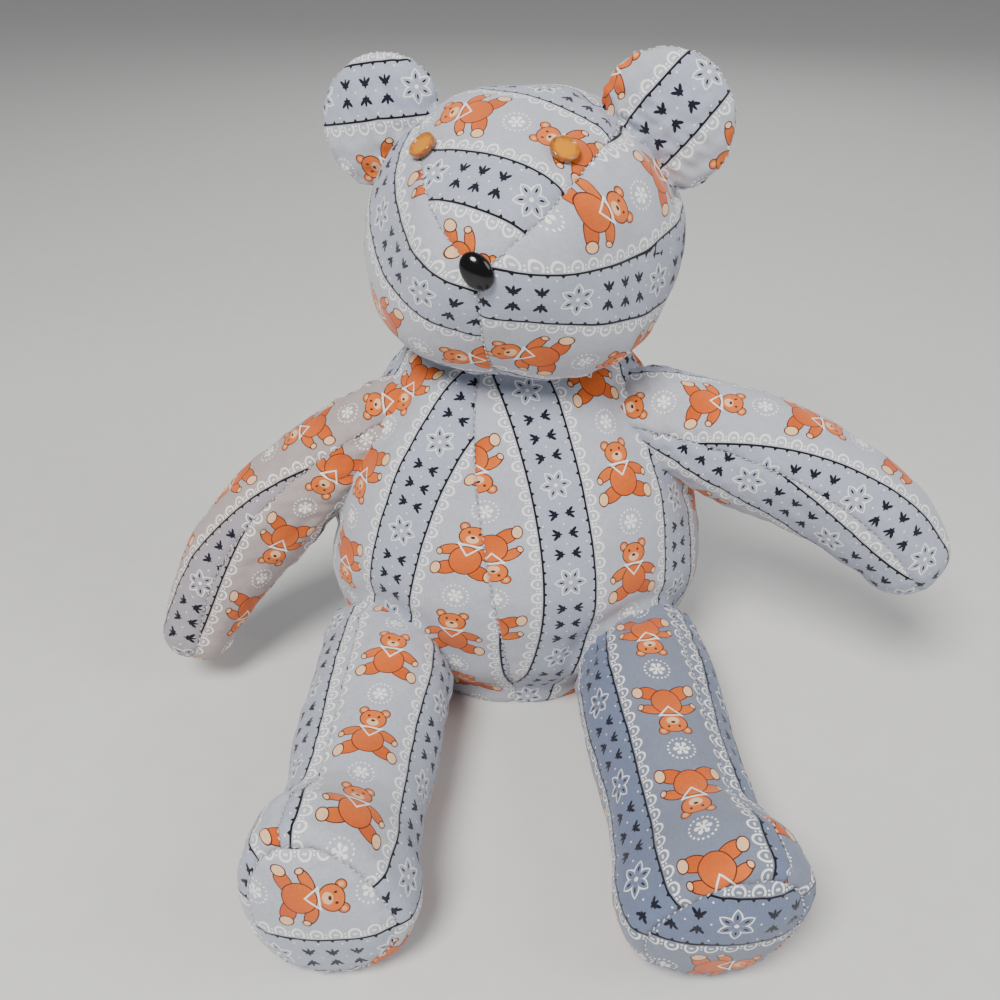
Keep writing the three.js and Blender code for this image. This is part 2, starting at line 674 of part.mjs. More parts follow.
for (const name of ['left', 'right']) {
  const ear = EARS[name];
  add(`eye_${name}`, eyeButton(), MATERIALS.amber, eyePlace(ear.side));
  add(`eye_thread_${name}`, eyeThread(), MATERIALS.thread, eyePlace(ear.side));
  add(`ear_front_${name}`, earPanel(ear, 1), MATERIALS.cotton);
  add(`ear_back_${name}`, earPanel(ear, -1), MATERIALS.cotton);
  add(`ear_wadding_${name}`, earWadding(ear), MATERIALS.stuffing);

  const arm = ARMS[name];
  add(`arm_upper_${name}`, armPanel(arm, 0), MATERIALS.cotton);
  add(`arm_under_${name}`, armPanel(arm, 1), MATERIALS.cotton);
  add(`arm_stuffing_${name}`, armStuffing(arm), MATERIALS.stuffing);

  const leg = LEGS[name];
  const cotton = name === 'left' ? MATERIALS.blueCotton : MATERIALS.cotton;
  ['inner', 'outer'].forEach((half, i) => add(`leg_${half}_${name}`, legPanel(leg, i), cotton));
  add(`leg_sole_${name}`, legSole(leg), cotton);
  add(`leg_stuffing_${name}`, legStuffing(leg), MATERIALS.stuffing);
}

// The origin: the middle of the bounding box, at floor level.
const box = new THREE.Box3().setFromObject(bear);
const middle = box.getCenter(new THREE.Vector3());
bear.position.set(-middle.x, -middle.y, -box.min.z);

export default bear;
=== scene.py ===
"""A seated keepsake bear sewn from printed cotton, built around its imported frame.

Every stuffed form is one smooth surface, in metres about the middle of the bear's seat. Each cotton
piece is a grid on that surface, with its seams rolled in, its puckers and its lumps. The same grid is
laid flat by relaxing it to its sewn lengths, and the flat coordinates carry the print, as on cloth.
"""

import logging
import math
from dataclasses import dataclass, field
from enum import Enum
from typing import Callable, Sequence

import bmesh
import bpy
import numpy as np
from mathutils import Matrix, Vector


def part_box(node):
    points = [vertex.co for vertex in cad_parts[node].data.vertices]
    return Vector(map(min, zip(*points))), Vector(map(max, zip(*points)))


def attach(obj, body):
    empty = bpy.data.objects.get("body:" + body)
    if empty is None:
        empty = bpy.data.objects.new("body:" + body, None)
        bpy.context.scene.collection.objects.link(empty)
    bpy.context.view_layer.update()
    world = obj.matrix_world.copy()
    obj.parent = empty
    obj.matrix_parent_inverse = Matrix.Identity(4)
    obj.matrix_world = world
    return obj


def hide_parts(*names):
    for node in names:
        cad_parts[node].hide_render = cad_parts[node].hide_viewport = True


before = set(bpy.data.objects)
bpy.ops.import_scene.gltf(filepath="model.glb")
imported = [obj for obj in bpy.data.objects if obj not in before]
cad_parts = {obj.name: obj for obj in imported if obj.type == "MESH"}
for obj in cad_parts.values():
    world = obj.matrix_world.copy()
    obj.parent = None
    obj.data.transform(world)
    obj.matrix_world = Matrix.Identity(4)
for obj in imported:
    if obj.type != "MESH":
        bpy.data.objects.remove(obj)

LOG = logging.getLogger("bear")
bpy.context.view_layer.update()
MM = 0.001
REPEAT = 66.0
NARROW = 24.0
PITCH = 47.0
UP = np.array([0.0, 0.0, 1.0])
TURN = 2 * math.pi
QUARTER = math.pi / 2
Array = np.ndarray
Colour = tuple[float, float, float]


# ------------------------------------------------------------------ numbers


def mm(*values: float) -> tuple[float, ...]:
    """Lengths given in millimetres, in metres."""
    return tuple(value * MM for value in values)


def place(*values: float) -> Array:
    """A point given in millimetres, in metres."""
    return np.array(values, float) * MM


def profile(stations: Sequence[float], values: Sequence[float], x: Array) -> Array:
    """The height at x of a smooth curve through the stations that never overshoots its points.

    Args:
        stations: Increasing places of the curve's points.
        values: The curve's height at each station.
        x: Where the curve is wanted.

    Returns:
        The heights, in the shape of x.
    """
    s, v = np.asarray(stations, float), np.asarray(values, float)
    slope = np.diff(v) / np.diff(s)
    before, after = slope[:-1], slope[1:]
    same_way = before * after > 0
    total = np.where(same_way, before + after, 1.0)
    tangent = np.concatenate([slope[:1], np.where(same_way, 2 * before * after / total, 0.0), slope[-1:]])
    i = np.clip(np.searchsorted(s, x, side="right") - 1, 0, len(s) - 2)
    h = s[i + 1] - s[i]
    t = np.clip((x - s[i]) / h, 0, 1)
    t2, t3 = t * t, t * t * t
    start = (2 * t3 - 3 * t2 + 1) * v[i] + (t3 - 2 * t2 + t) * h * tangent[i]
    return start + (3 * t2 - 2 * t3) * v[i + 1] + (t3 - t2) * h * tangent[i + 1]


def smoothstep(low: float, high: float, x: Array) -> Array:
    """0 below low, 1 above high, and an even S between."""
    t = np.clip((x - low) / (high - low), 0, 1)
    return t * t * (3 - 2 * t)


def unit(v: Array) -> Array:
    """Vectors at length 1, along the last axis."""
    return v / np.maximum(np.linalg.norm(v, axis=-1, keepdims=True), 1e-12)


def bell(distance: Array, width: float) -> Array:
    """1 at no distance, falling smoothly to almost nothing at two widths."""
    return np.exp(-((distance / width) ** 2))


def waves(points: Array, length: float, seed: int, count: int = 7) -> Array:
    """A smooth uneven field over space, from seeded plane waves, mostly between -1 and 1.

    Args:
        points: Places, with their coordinates on the last axis.
        length: The usual wavelength.
        seed: Chooses the waves.
        count: How many waves are summed.

    Returns:
        The field at each place.
    """
    rng = np.random.default_rng(seed)
    total = np.zeros(points.shape[:-1])
    for _ in range(count):
        way = unit(rng.normal(size=points.shape[-1])) / (length * rng.uniform(0.7, 1.5))
        total += np.sin(TURN * (points @ way) + rng.uniform(0, TURN))
    return total / math.sqrt(count)


def turn(v: Array, axis: int, angle: float) -> Array:
    """Vectors turned about one of the row axes, by the right-hand rule."""
    c, s = math.cos(angle), math.sin(angle)
    a, b = [(1, 2), (2, 0), (0, 1)][axis]
    out = np.array(v, float)
    out[..., a] = c * v[..., a] - s * v[..., b]
    out[..., b] = s * v[..., a] + c * v[..., b]
    return out


# ------------------------------------------------------------------ stuffed forms


@dataclass
class BodyForm:
    """The pear-shaped body, which leans back a little on a flat seat."""

    seat: Array = field(default_factory=lambda: place(0, 0, 2))
    lean: float = math.radians(14)
    length: float = 190 * MM
    stations: tuple[float, ...] = (0, 0.12, 0.35, 0.6, 0.8, 0.93, 1)
    half_width: tuple[float, ...] = mm(55, 86, 98, 93, 76, 56, 36)
    front: tuple[float, ...] = mm(40, 62, 74, 66, 52, 40, 28)
    back: tuple[float, ...] = mm(36, 56, 62, 58, 50, 40, 28)
    bottom_cap: float = 0.13
    top_cap: float = 0.06
    squareness: float = 2.15
    front_seam_turn: float = math.radians(19)

    @property
    def axis(self) -> Array:
        """The direction from the seat to the neck."""
        return np.array([0.0, math.sin(self.lean), math.cos(self.lean)])

    @property
    def forward(self) -> Array:
        """The direction out of the belly."""
        return np.array([0.0, -math.cos(self.lean), math.sin(self.lean)])

    def section(self, share: Array) -> tuple[Array, Array, Array]:
        """Half width, front depth and back depth at shares of the length."""
        past = np.where(share < 0, -share / self.bottom_cap, (share - 1) / self.top_cap)
        closing = np.sqrt(np.clip(1 - np.clip(past, 0, 1) ** 2, 0, 1))
        rows = (self.half_width, self.front, self.back)
        return tuple(profile(self.stations, row, np.clip(share, 0, 1)) * closing for row in rows)

    def point(self, share: Array, angle: Array) -> Array:
        """Points of the skin.

        Args:
            share: Share of the length from the seat to the neck.
            angle: Angle round the body from the bear's left over the belly.

        Returns:
            The points, in metres.
        """
        share, angle = np.broadcast_arrays(share, angle)
        width, front, back = self.section(share)
        c, s = np.cos(angle), np.sin(angle)
        n = self.squareness
        scale = (np.abs(c) ** n + np.abs(s) ** n) ** (-1 / n)
        depth = np.where(s > 0, front, back) * s * scale
        out = self.seat + share[..., None] * self.length * self.axis + depth[..., None] * self.forward
        out[..., 0] += width * c * scale
        out[..., 2] = np.maximum(out[..., 2], 0)
        return out

    def panel(self, share: Array, angle: Array) -> Array:
        """Points of the skin, with the front seam leaning over to the bear's right as it climbs."""
        lean = self.front_seam_turn * np.clip(share, 0, 1) * np.maximum(np.sin(angle), 0)
        return self.point(share, angle + lean)

    def level(self, points: Array) -> tuple[Array, Array]:
        """How far out points lie, 1 on the skin, and the body's own radius there."""
        local = points - self.seat
        width, front, back = self.section(local @ self.axis / self.length)
        depth = local @ self.forward
        reach = np.maximum(np.where(depth > 0, front, back), 1e-4)
        width = np.maximum(width, 1e-4)
        n = self.squareness
        level = (np.abs(local[..., 0] / width) ** n + np.abs(depth / reach) ** n) ** (1 / n)
        return np.minimum(level, 50.0), np.minimum(width, reach)

    def clearance(self, points: Array) -> Array:
        """About how far points lie outside the skin, in metres, less than 0 inside it."""
        level, radius = self.level(points)
        return (level - 1) * np.maximum(radius, 20 * MM)


@dataclass
class HeadForm:
    """The round head with its blunt muzzle, turned to one side."""

    centre: Array = field(default_factory=lambda: place(3, 34, 236))
    turned: float = math.radians(14)
    tilt: float = math.radians(6)
    radius: tuple[float, ...] = mm(74, 66, 64)
    chin_drop: float = 67 * MM
    jowl: float = 0.55
    jowl_depth: float = 0.5
    muzzle: float = 17 * MM
    muzzle_spread: float = math.radians(34)
    gusset_angles: tuple[float, ...] = (0, 5, 15, 30, 50, 70, 100, 150, 200, 240)
    gusset_half_widths: tuple[float, ...] = (1.5, 7, 17, 27, 35.5, 40, 40, 33, 22, 8)

    def to_bear(self, v: Array) -> Array:
        """Vectors from the head's own axes to the row's."""
        return turn(turn(v, 0, -self.tilt), 2, -self.turned)

    def to_head(self, v: Array) -> Array:
        """Vectors from the row's axes to the head's own."""
        return turn(turn(v, 2, self.turned), 0, self.tilt)

    def reach(self, d: Array) -> Array:
        """Distance from the centre to the skin along unit directions in the head's axes."""
        x, y, z = np.abs(d[..., 0]), np.abs(d[..., 1]), d[..., 2]
        n = np.where(z > 0, 2.0, 2 + self.jowl * np.minimum(1, -z / self.jowl_depth))
        z_radius = np.where(z > 0, self.radius[2], self.chin_drop)
        total = (x / self.radius[0]) ** n + (y / self.radius[1]) ** n + (np.abs(z) / z_radius) ** n
        from_muzzle = np.arccos(np.clip(-d[..., 1], -1, 1))
        return total ** (-1 / n) + self.muzzle * bell(from_muzzle, self.muzzle_spread)

    def point(self, up: Array, out: Array) -> Array:
        """Points of the skin.

        Args:
            up: Angle from the muzzle over the top of the head.
            out: Angle out towards the bear's left ear.

        Returns:
            The points, in metres.
        """
        up, out = np.broadcast_arrays(up, out)
        d = np.stack([np.sin(out), -np.cos(out) * np.cos(up), np.cos(out) * np.sin(up)], -1)
        return self.centre + self.to_bear(d * self.reach(d)[..., None])

    def gusset_half(self, up: Array) -> Array:
        """Half the centre strip's width, as an angle, at angles up from the nose."""
        return np.radians(profile(self.gusset_angles, self.gusset_half_widths, np.degrees(up)))

    def clearance(self, points: Array) -> Array:
        """About how far points lie outside the skin, in metres, less than 0 inside it."""
        local = points - self.centre
        return np.linalg.norm(local, axis=-1) - self.reach(self.to_head(unit(local)))

    def button_place(self, up: float, out: float) -> Matrix:
        """Where a button sits on the head, with its own +Z out of the skin."""
        step = 0.02
        here = self.point(np.array(up), np.array(out))
        upward = unit(self.point(np.array(up + step), np.array(out)) - here)
        outward = unit(self.point(np.array(up), np.array(out + step)) - here)
        normal = unit(np.cross(outward, upward))
        if normal @ (here - self.centre) < 0:
            normal = -normal
        side = unit(np.cross(upward, normal))
        axes = np.stack([side, np.cross(normal, side), normal], 1)
        return Matrix.Translation(Vector(here)) @ Matrix(axes.tolist()).to_4x4()


@dataclass
class ArmForm:
    """A plain curved arm with a round end."""

    side: int
    spine: Array
    radii: tuple[float, ...]
    seam: float
    stations: tuple[float, ...] = (0, 0.25, 0.6, 0.85, 1)
    front_to_back: float = 0.92
    tip_length: float = 0.9
    root: float = 0.22

    def point(self, t: Array, angle: Array) -> Array:
        """Points of the skin: t is under 0 inside the body, 0 to 1 along the arm and 1 to 2 over its tip."""
        t, angle = np.broadcast_arrays(t, angle)
        a = np.clip(t, -self.root, 1)[..., None]
        p, q = self.spine, 1 - a
        centre = q**3 * p[0] + 3 * q * q * a * p[1] + 3 * q * a * a * p[2] + a**3 * p[3]
        ahead = unit(q * q * (p[1] - p[0]) + 2 * q * a * (p[2] - p[1]) + a * a * (p[3] - p[2]))
        front = unit(np.cross(ahead, UP)) * self.side
        top = unit(np.cross(front, ahead)) * self.side
        over = np.clip(t - 1, 0, 1) * QUARTER
        radius = profile(self.stations, self.radii, np.clip(t, 0, 1))
        ring = radius * np.cos(over) * np.sqrt(np.clip(1 - (np.minimum(t, 0) / self.root) ** 2, 0, 1))
        out = centre + ahead * (radius * self.tip_length * np.sin(over))[..., None]
        out = out + front * (ring * np.cos(angle) * self.front_to_back)[..., None]
        return out + top * (ring * np.sin(angle))[..., None]


@dataclass
class LegForm:
    """A leg that ends in a foot, rolled so that the toe points up and out."""

    side: int
    hip: Array
    foot: Array
    roll: float
    lean: float
    stations: tuple[float, ...] = (0, 0.45, 0.74, 0.81, 0.89, 0.97, 1)
    half_width: tuple[float, ...] = mm(36, 35, 33, 33, 35, 33, 28)
    toe: tuple[float, ...] = mm(35, 33, 32, 38, 48, 49, 43)
    heel: tuple[float, ...] = mm(35, 33, 30, 31, 33, 30, 25)
    sole_bulge: float = 7 * MM
    lean_start: float = 0.6
    root: float = 0.2

    def axes(self) -> tuple[Array, Array, Array]:
        """Unit directions along the leg, to its outer side and to its toe."""
        ahead = unit((self.foot - self.hip) * np.array([1, 1, 0]))
        across = np.cross(ahead, UP) * -self.side
        c, s = math.cos(self.roll), math.sin(self.roll)
        return ahead, across * c - UP * s, UP * c + across * s

    def point(self, t: Array, angle: Array) -> Array:
        """Points of the skin: t runs 0 to 1 from hip to sole; the angle is 90 degrees at the toe."""
        t, angle = np.broadcast_arrays(t, angle)
        ahead, outer, toe = self.axes()
        c, s = np.cos(angle), np.sin(angle)
        closing = np.sqrt(np.clip(1 - (1 - np.clip(t / self.root, 0, 1)) ** 2, 0, 1))
        width = profile(self.stations, self.half_width, t) * closing
        above, below = profile(self.stations, self.toe, t), profile(self.stations, self.heel, t)
        height = closing * np.where(s > 0, above, below)
        offset = outer * (width * c)[..., None] + toe * (height * s)[..., None]
        shift = self.lean * offset[..., 2] * smoothstep(self.lean_start, 1, t)
        out = self.hip + (self.foot - self.hip) * t[..., None] + offset + ahead * shift[..., None]
        out[..., 2] = np.maximum(out[..., 2], 0)
        return out

    def sole(self, share: Array, angle: Array) -> Array:
        """Points of the sole: share runs 0 to 1 from its middle to its edge."""
        share, angle = np.broadcast_arrays(share, angle)
        one = np.ones_like(share)
        middle = (self.point(one, one * QUARTER) + self.point(one, -one * QUARTER)) / 2
        out = middle + (self.point(one, angle) - middle) * share[..., None]
        out = out + self.axes()[0] * (self.sole_bulge * (1 - share**2))[..., None]
        out[..., 2] = np.maximum(out[..., 2], 0)
        return out


@dataclass
class EarForm:
    """A round padded ear, sunk a little into the top of the head."""

    side: int
    head: HeadForm
    centre: Array
    radius: float = 31.5 * MM
    half_thickness: float = 9.5 * MM
    lift: float = 6 * MM
    splay: float = 0.62
    rise: float = 0.78

    def point(self, share: Array, angle: Array, face: int) -> Array:
        """Points of one face.

        Args:
            share: 0 at the ear's middle to 1 at its rim.
            angle: Angle round the ear.
            face: 1 for the front, -1 for the back.

        Returns:
            The points, in metres.
        """
        share, angle = np.broadcast_arrays(share, angle)
        out = unit(np.array([self.splay * self.side, 0, self.rise]))
        across = unit(np.array([self.rise, 0, -self.splay * self.side]))
        x, y = self.radius * share * np.cos(angle), self.radius * share * np.sin(angle)
        bulge = self.half_thickness * np.sqrt(np.clip(1 - share**2, 0, 1)) * face
        local = self.centre + across * x[..., None] + out * (y + self.lift)[..., None]
        local[..., 1] -= bulge
        return self.head.centre + self.head.to_bear(local)


# ------------------------------------------------------------------ cotton pieces


class Edge(Enum):
    """The four edges of a grid of points."""

    FIRST_ROW = 0
    LAST_ROW = 1
    FIRST_COLUMN = 2
    LAST_COLUMN = 3


class Stripe(Enum):
    """The stripes of the print, counted from a row of upright bears."""

    BEARS_UP = 0
    STARS = 1
    BEARS_DOWN = 2
    STARS_AFTER = 3

    def middle(self) -> float:
        """Place of the stripe's middle across the cloth, in millimetres."""
        repeats, narrow = divmod(self.value, 2)
        return repeats * REPEAT + (REPEAT - NARROW / 2 if narrow else (REPEAT - NARROW) / 2)


@dataclass(frozen=True)
class Lay:
    """How a piece was laid on the printed cloth before it was cut.

    Args:
        stripe: The stripe that the piece's middle lies on.
        turned: Turn of the piece against the stripes, in degrees.
        aside: Distance of the piece's middle from the middle of that stripe, in millimetres.
        quarters: Its place along the stripe, in quarters of the distance from bear to bear.
    """

    stripe: Stripe = Stripe.BEARS_UP
    turned: float = 0.0
    aside: float = 0.0
    quarters: int = 0

    def place(self) -> Array:
        """The place of the piece's middle on the cloth, in metres."""
        return place(self.stripe.middle() + self.aside, self.quarters * PITCH / 4)


@dataclass
class Sewing:
    """How seams and joins shape the cotton, in metres."""

    groove: float = 1.1 * MM
    groove_width: float = 2.0 * MM
    pucker: float = 0.42 * MM
    pucker_reach: float = 9 * MM
    pucker_length: float = 7 * MM
    lump: float = 1.0 * MM
    lump_length: float = 55 * MM
    ripple: float = 0.3 * MM
    ripple_length: float = 18 * MM
    pinch: float = 4.0 * MM
    pinch_reach: float = 7 * MM
    dent: float = 2.6 * MM
    dent_reach: float = 6 * MM
    thickness: float = 0.9 * MM


SEWING = Sewing()
COARSE = 4


def resample(values: Array, factor: int, closed: bool) -> Array:
    """Smoothly fills factor - 1 new entries between neighbours along the first axis.

    Args:
        values: Evenly indexed samples.
        factor: How many steps each interval is cut into.
        closed: True if the last sample is followed by the first.

    Returns:
        The longer array, with the old samples kept in place.
    """
    if closed:
        before, after, after2 = np.roll(values, 1, 0), np.roll(values, -1, 0), np.roll(values, -2, 0)
        start = values
    else:
        ends = np.concatenate([2 * values[:1] - values[1:2], values, 2 * values[-1:] - values[-2:-1]])
        before, start, after, after2 = ends[:-3], ends[1:-2], ends[2:-1], ends[3:]
    t = (np.arange(factor) / factor).reshape(1, -1, *([1] * (values.ndim - 1)))
    p0, p1, p2, p3 = (v[:, None] for v in (before, start, after, after2))
    made = 0.5 * (2 * p1 + (p2 - p0) * t + (2 * p0 - 5 * p1 + 4 * p2 - p3) * t**2
                  + (3 * p1 - p0 - 3 * p2 + p3) * t**3)
    flat = made.reshape(-1, *values.shape[1:])
    return flat if closed else np.concatenate([flat, values[-1:]])


def run(points: Array, axis: int) -> Array:
    """Length travelled along a grid's rows (axis 1) or columns (axis 0) from its first entry."""
    step = np.linalg.norm(np.diff(points, axis=axis), axis=-1)
    pad = [(1, 0) if a == axis else (0, 0) for a in range(2)]
    return np.pad(np.cumsum(step, axis=axis), pad)


def laid_flat(points: Array, closed: bool, steps: int = 900) -> Array:
    """Flat coordinates of a coarse grid, relaxed until its threads have their sewn lengths.

    Args:
        points: The grid, rows by columns by 3.
        closed: True for a disc, whose first row is its middle and whose columns run round it.
        steps: How many times every thread is eased towards its length.

    Returns:
        The grid's flat coordinates, rows by columns by 2, in metres.
    """
    rows, columns = points.shape[:2]
    down = run(points, 0)
    if closed:
        angle = TURN * np.arange(columns) / columns
        flat = np.stack([down * np.cos(angle), down * np.sin(angle)], -1)
    else:
        middle = columns // 2
        across = run(points, 1)
        flat = np.stack([across - across[:, middle:middle + 1],
                         np.repeat(down[:, middle:middle + 1], columns, 1)], -1)
    index = np.arange(rows * columns).reshape(rows, columns)
    right = np.roll(index, -1, 1)
    last = columns if closed else columns - 1
    pairs = [(index[:-1], index[1:]), (index[:, :last], right[:, :last]),
             (index[:-1, :last], right[1:, :last]), (index[1:, :last], right[:-1, :last])]
    a = np.concatenate([p.ravel() for p, _ in pairs])
    b = np.concatenate([q.ravel() for _, q in pairs])
    solid, q = points.reshape(-1, 3), flat.reshape(-1, 2).copy()
    length = np.linalg.norm(solid[a] - solid[b], axis=1)
    count = np.bincount(np.concatenate([a, b]), minlength=len(q))[:, None]
    for _ in range(steps):
        gap = q[b] - q[a]
        now = np.maximum(np.linalg.norm(gap, axis=1), 1e-9)
        pull = gap * ((now - length) / now * 0.5)[:, None]
        for axis in range(2):
            move = np.bincount(a, pull[:, axis], len(q)) - np.bincount(b, pull[:, axis], len(q))
            q[:, axis] += 1.7 * move / count[:, 0]
    return q.reshape(rows, columns, 2)


@dataclass
class Piece:
    """One cotton piece: a grid on a stuffed form, which is sewn, settled and laid flat.

    Args:
        name: The piece's name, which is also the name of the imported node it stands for.
        surface: Gives points for arrays of row values and column values.
        rows: The row values.
        columns: The column values.
        seams: The edges that are sewn to another piece.
        closed: True for a disc whose columns run all the way round.
    """

    name: str
    surface: Callable[[Array, Array], Array]
    rows: Array
    columns: Array
    seams: tuple[Edge, ...]
    closed: bool = False
    base: Array = field(init=False)
    normals: Array = field(init=False)
    skin: Array = field(init=False)
    flip: bool = field(init=False)

    def __post_init__(self) -> None:
        """Works out the plain surface and its outward normals."""
        self.base = self.surface(self.rows[:, None], self.columns[None, :])
        self.normals, self.flip = self.find_normals(self.base)
        self.skin = self.base.copy()

    def find_normals(self, points: Array) -> tuple[Array, bool]:
        """Outward normals of a grid, and whether its rows and columns are wound inwards."""
        if self.closed:
            wide = np.concatenate([points[:, -1:], points, points[:, :1]], 1)
            across = (wide[:, 2:] - wide[:, :-2])
        else:
            across = np.gradient(points, axis=1)
        down = np.gradient(points, axis=0)
        normals = np.cross(across, down)
        size = np.linalg.norm(normals, axis=-1, keepdims=True)
        thin = size[..., 0] < 1e-12
        normals = unit(normals)
        if self.closed:
            normals[0] = unit(normals[1].mean(0))
        elif thin.any():
            normals[thin] = 0
            blank = thin[0].all()
            normals[0] = unit(normals[1].mean(0)) if blank else normals[0]
            normals[-1] = unit(normals[-2].mean(0)) if thin[-1].all() else normals[-1]
        outward = ((points - points.mean((0, 1))) * normals).sum(-1).mean()
        return (normals, False) if outward > 0 else (-normals, True)

    def from_seam(self) -> Array:
        """Each point's distance over the cloth to the nearest seam, in metres."""
        down, across = run(self.base, 0), run(self.base, 1)
        away = {Edge.FIRST_ROW: down, Edge.LAST_ROW: down[-1:] - down,
                Edge.FIRST_COLUMN: across, Edge.LAST_COLUMN: across[:, -1:] - across}
        nearest = np.full(self.base.shape[:2], 1.0)
        for seam in self.seams:
            nearest = np.minimum(nearest, away[seam])
        return nearest

    def sew(self, seed: int) -> None:
        """Rolls the seams in, and adds puckers beside them and lumps of stuffing all over."""
        near = self.from_seam()
        puckers = waves(self.base, SEWING.pucker_length, seed) * np.exp(-near / SEWING.pucker_reach)
        lumps = waves(self.base, SEWING.lump_length, 7) * SEWING.lump
        ripples = waves(self.base, SEWING.ripple_length, 11) * SEWING.ripple
        raised = SEWING.pucker * puckers + (lumps + ripples) * smoothstep(0, 14 * MM, near)
        raised = raised - SEWING.groove * np.exp(-near / SEWING.groove_width)
        self.skin = self.base + self.normals * raised[..., None]

    def draw_in(self, clearance: Callable[[Array], Array], gathers: int, seed: int) -> None:
        """Pinches this piece where it is sewn on to another form, and gathers the cloth there.

        Args:
            clearance: Gives how far points lie outside the other form.
            gathers: How many small folds run away from the join, for a whole turn round it.
            seed: Chooses their heights.
        """
        clear = np.maximum(clearance(self.base), 0)
        folds = waves(self.base, 4 * SEWING.pinch_reach / math.sqrt(gathers), seed)
        pinch = SEWING.pinch * np.exp(-clear / SEWING.pinch_reach)
        pinch = pinch - 0.8 * MM * folds * np.exp(-clear / (4 * SEWING.pinch_reach))
        self.skin = self.skin - self.normals * pinch[..., None]

    def dent(self, ring: Array) -> None:
        """Presses this piece in along a ring of points, where another form is sewn on to it."""
        if len(ring) == 0:
            return
        flat = self.base.reshape(-1, 3)
        nearest = np.concatenate([
            np.sqrt(((part[:, None] - ring[None]) ** 2).sum(-1)).min(1) for part in np.array_split(flat, 24)])
        depth = SEWING.dent * bell(nearest.reshape(self.base.shape[:2]), SEWING.dent_reach)
        self.skin = self.skin - self.normals * depth[..., None]

    def on_floor(self) -> None:
        """Keeps the cloth on the surface that the bear sits on."""
        self.skin[..., 2] = np.maximum(self.skin[..., 2], 0.2 * MM)

    def cloth(self, lay: Lay) -> Array:
        """The grid's flat coordinates on the printed cloth, in metres."""
        coarse = self.base[::COARSE, ::COARSE]
        flat = laid_flat(coarse, self.closed)
        flat = resample(flat, COARSE, False)
        flat = np.swapaxes(resample(np.swapaxes(flat, 0, 1), COARSE, self.closed), 0, 1)
        flat = flat[:self.base.shape[0], :self.base.shape[1]]
        if self.flip != self.closed:
            flat = flat * np.array([-1, 1])
        flat = flat - flat.reshape(-1, 2).mean(0)
        c, s = math.cos(math.radians(lay.turned)), math.sin(math.radians(lay.turned))
        turned = np.stack([flat[..., 0] * c - flat[..., 1] * s, flat[..., 0] * s + flat[..., 1] * c], -1)
        return turned + lay.place()

    def mesh(self, lay: Lay, origin: Array) -> bpy.types.Object:
        """Builds the piece as a thin shell with its flat coordinates.

        Args:
            lay: How the piece was laid on the printed cloth.
            origin: Where the bear's own origin lies in the row frame.

        Returns:
            The new object, in the row frame.
        """
        rows, columns = self.skin.shape[:2]
        index = np.arange(rows * columns).reshape(rows, columns)
        right = np.roll(index, -1, 1)
        last = columns if self.closed else columns - 1
        quads = np.stack([index[:-1, :last], right[:-1, :last], right[1:, :last], index[1:, :last]], -1)
        quads = quads.reshape(-1, 4)
        if self.closed:
            quads = quads[last:]
            fan = np.stack([np.full(last, 0), right[1], index[1]], -1)
        if self.flip:
            quads = quads[:, ::-1]
        faces = quads.tolist()
        if self.closed:
            faces += (fan[:, ::-1] if self.flip else fan).tolist()
        mesh = bpy.data.meshes.new(self.name)
        mesh.from_pydata((self.skin + origin).reshape(-1, 3).tolist(), [], faces)
        layer = mesh.uv_layers.new(name="cloth")
        flat = self.cloth(lay).reshape(-1, 2)
        corner = np.empty(len(mesh.loops), np.int32)
        mesh.loops.foreach_get("vertex_index", corner)
        layer.data.foreach_set("uv", flat[corner].astype(np.float32).ravel())
        mesh.validate()
        made = bpy.data.objects.new(self.name + "_cotton", mesh)
        bpy.context.scene.collection.objects.link(made)
        drop_loose(made)
        for polygon in mesh.polygons:
            polygon.use_smooth = True
        shell = made.modifiers.new("thickness", "SOLIDIFY")
        shell.thickness = SEWING.thickness
        shell.offset = -1
        return made


def drop_loose(made: bpy.types.Object) -> None:
    """Removes vertices that belong to no face."""
    work = bmesh.new()
    work.from_mesh(made.data)
    loose = [v for v in work.verts if not v.link_faces]
    bmesh.ops.delete(work, geom=loose, context="VERTS")
    work.to_mesh(made.data)
    work.free()


# ------------------------------------------------------------------ shader maths


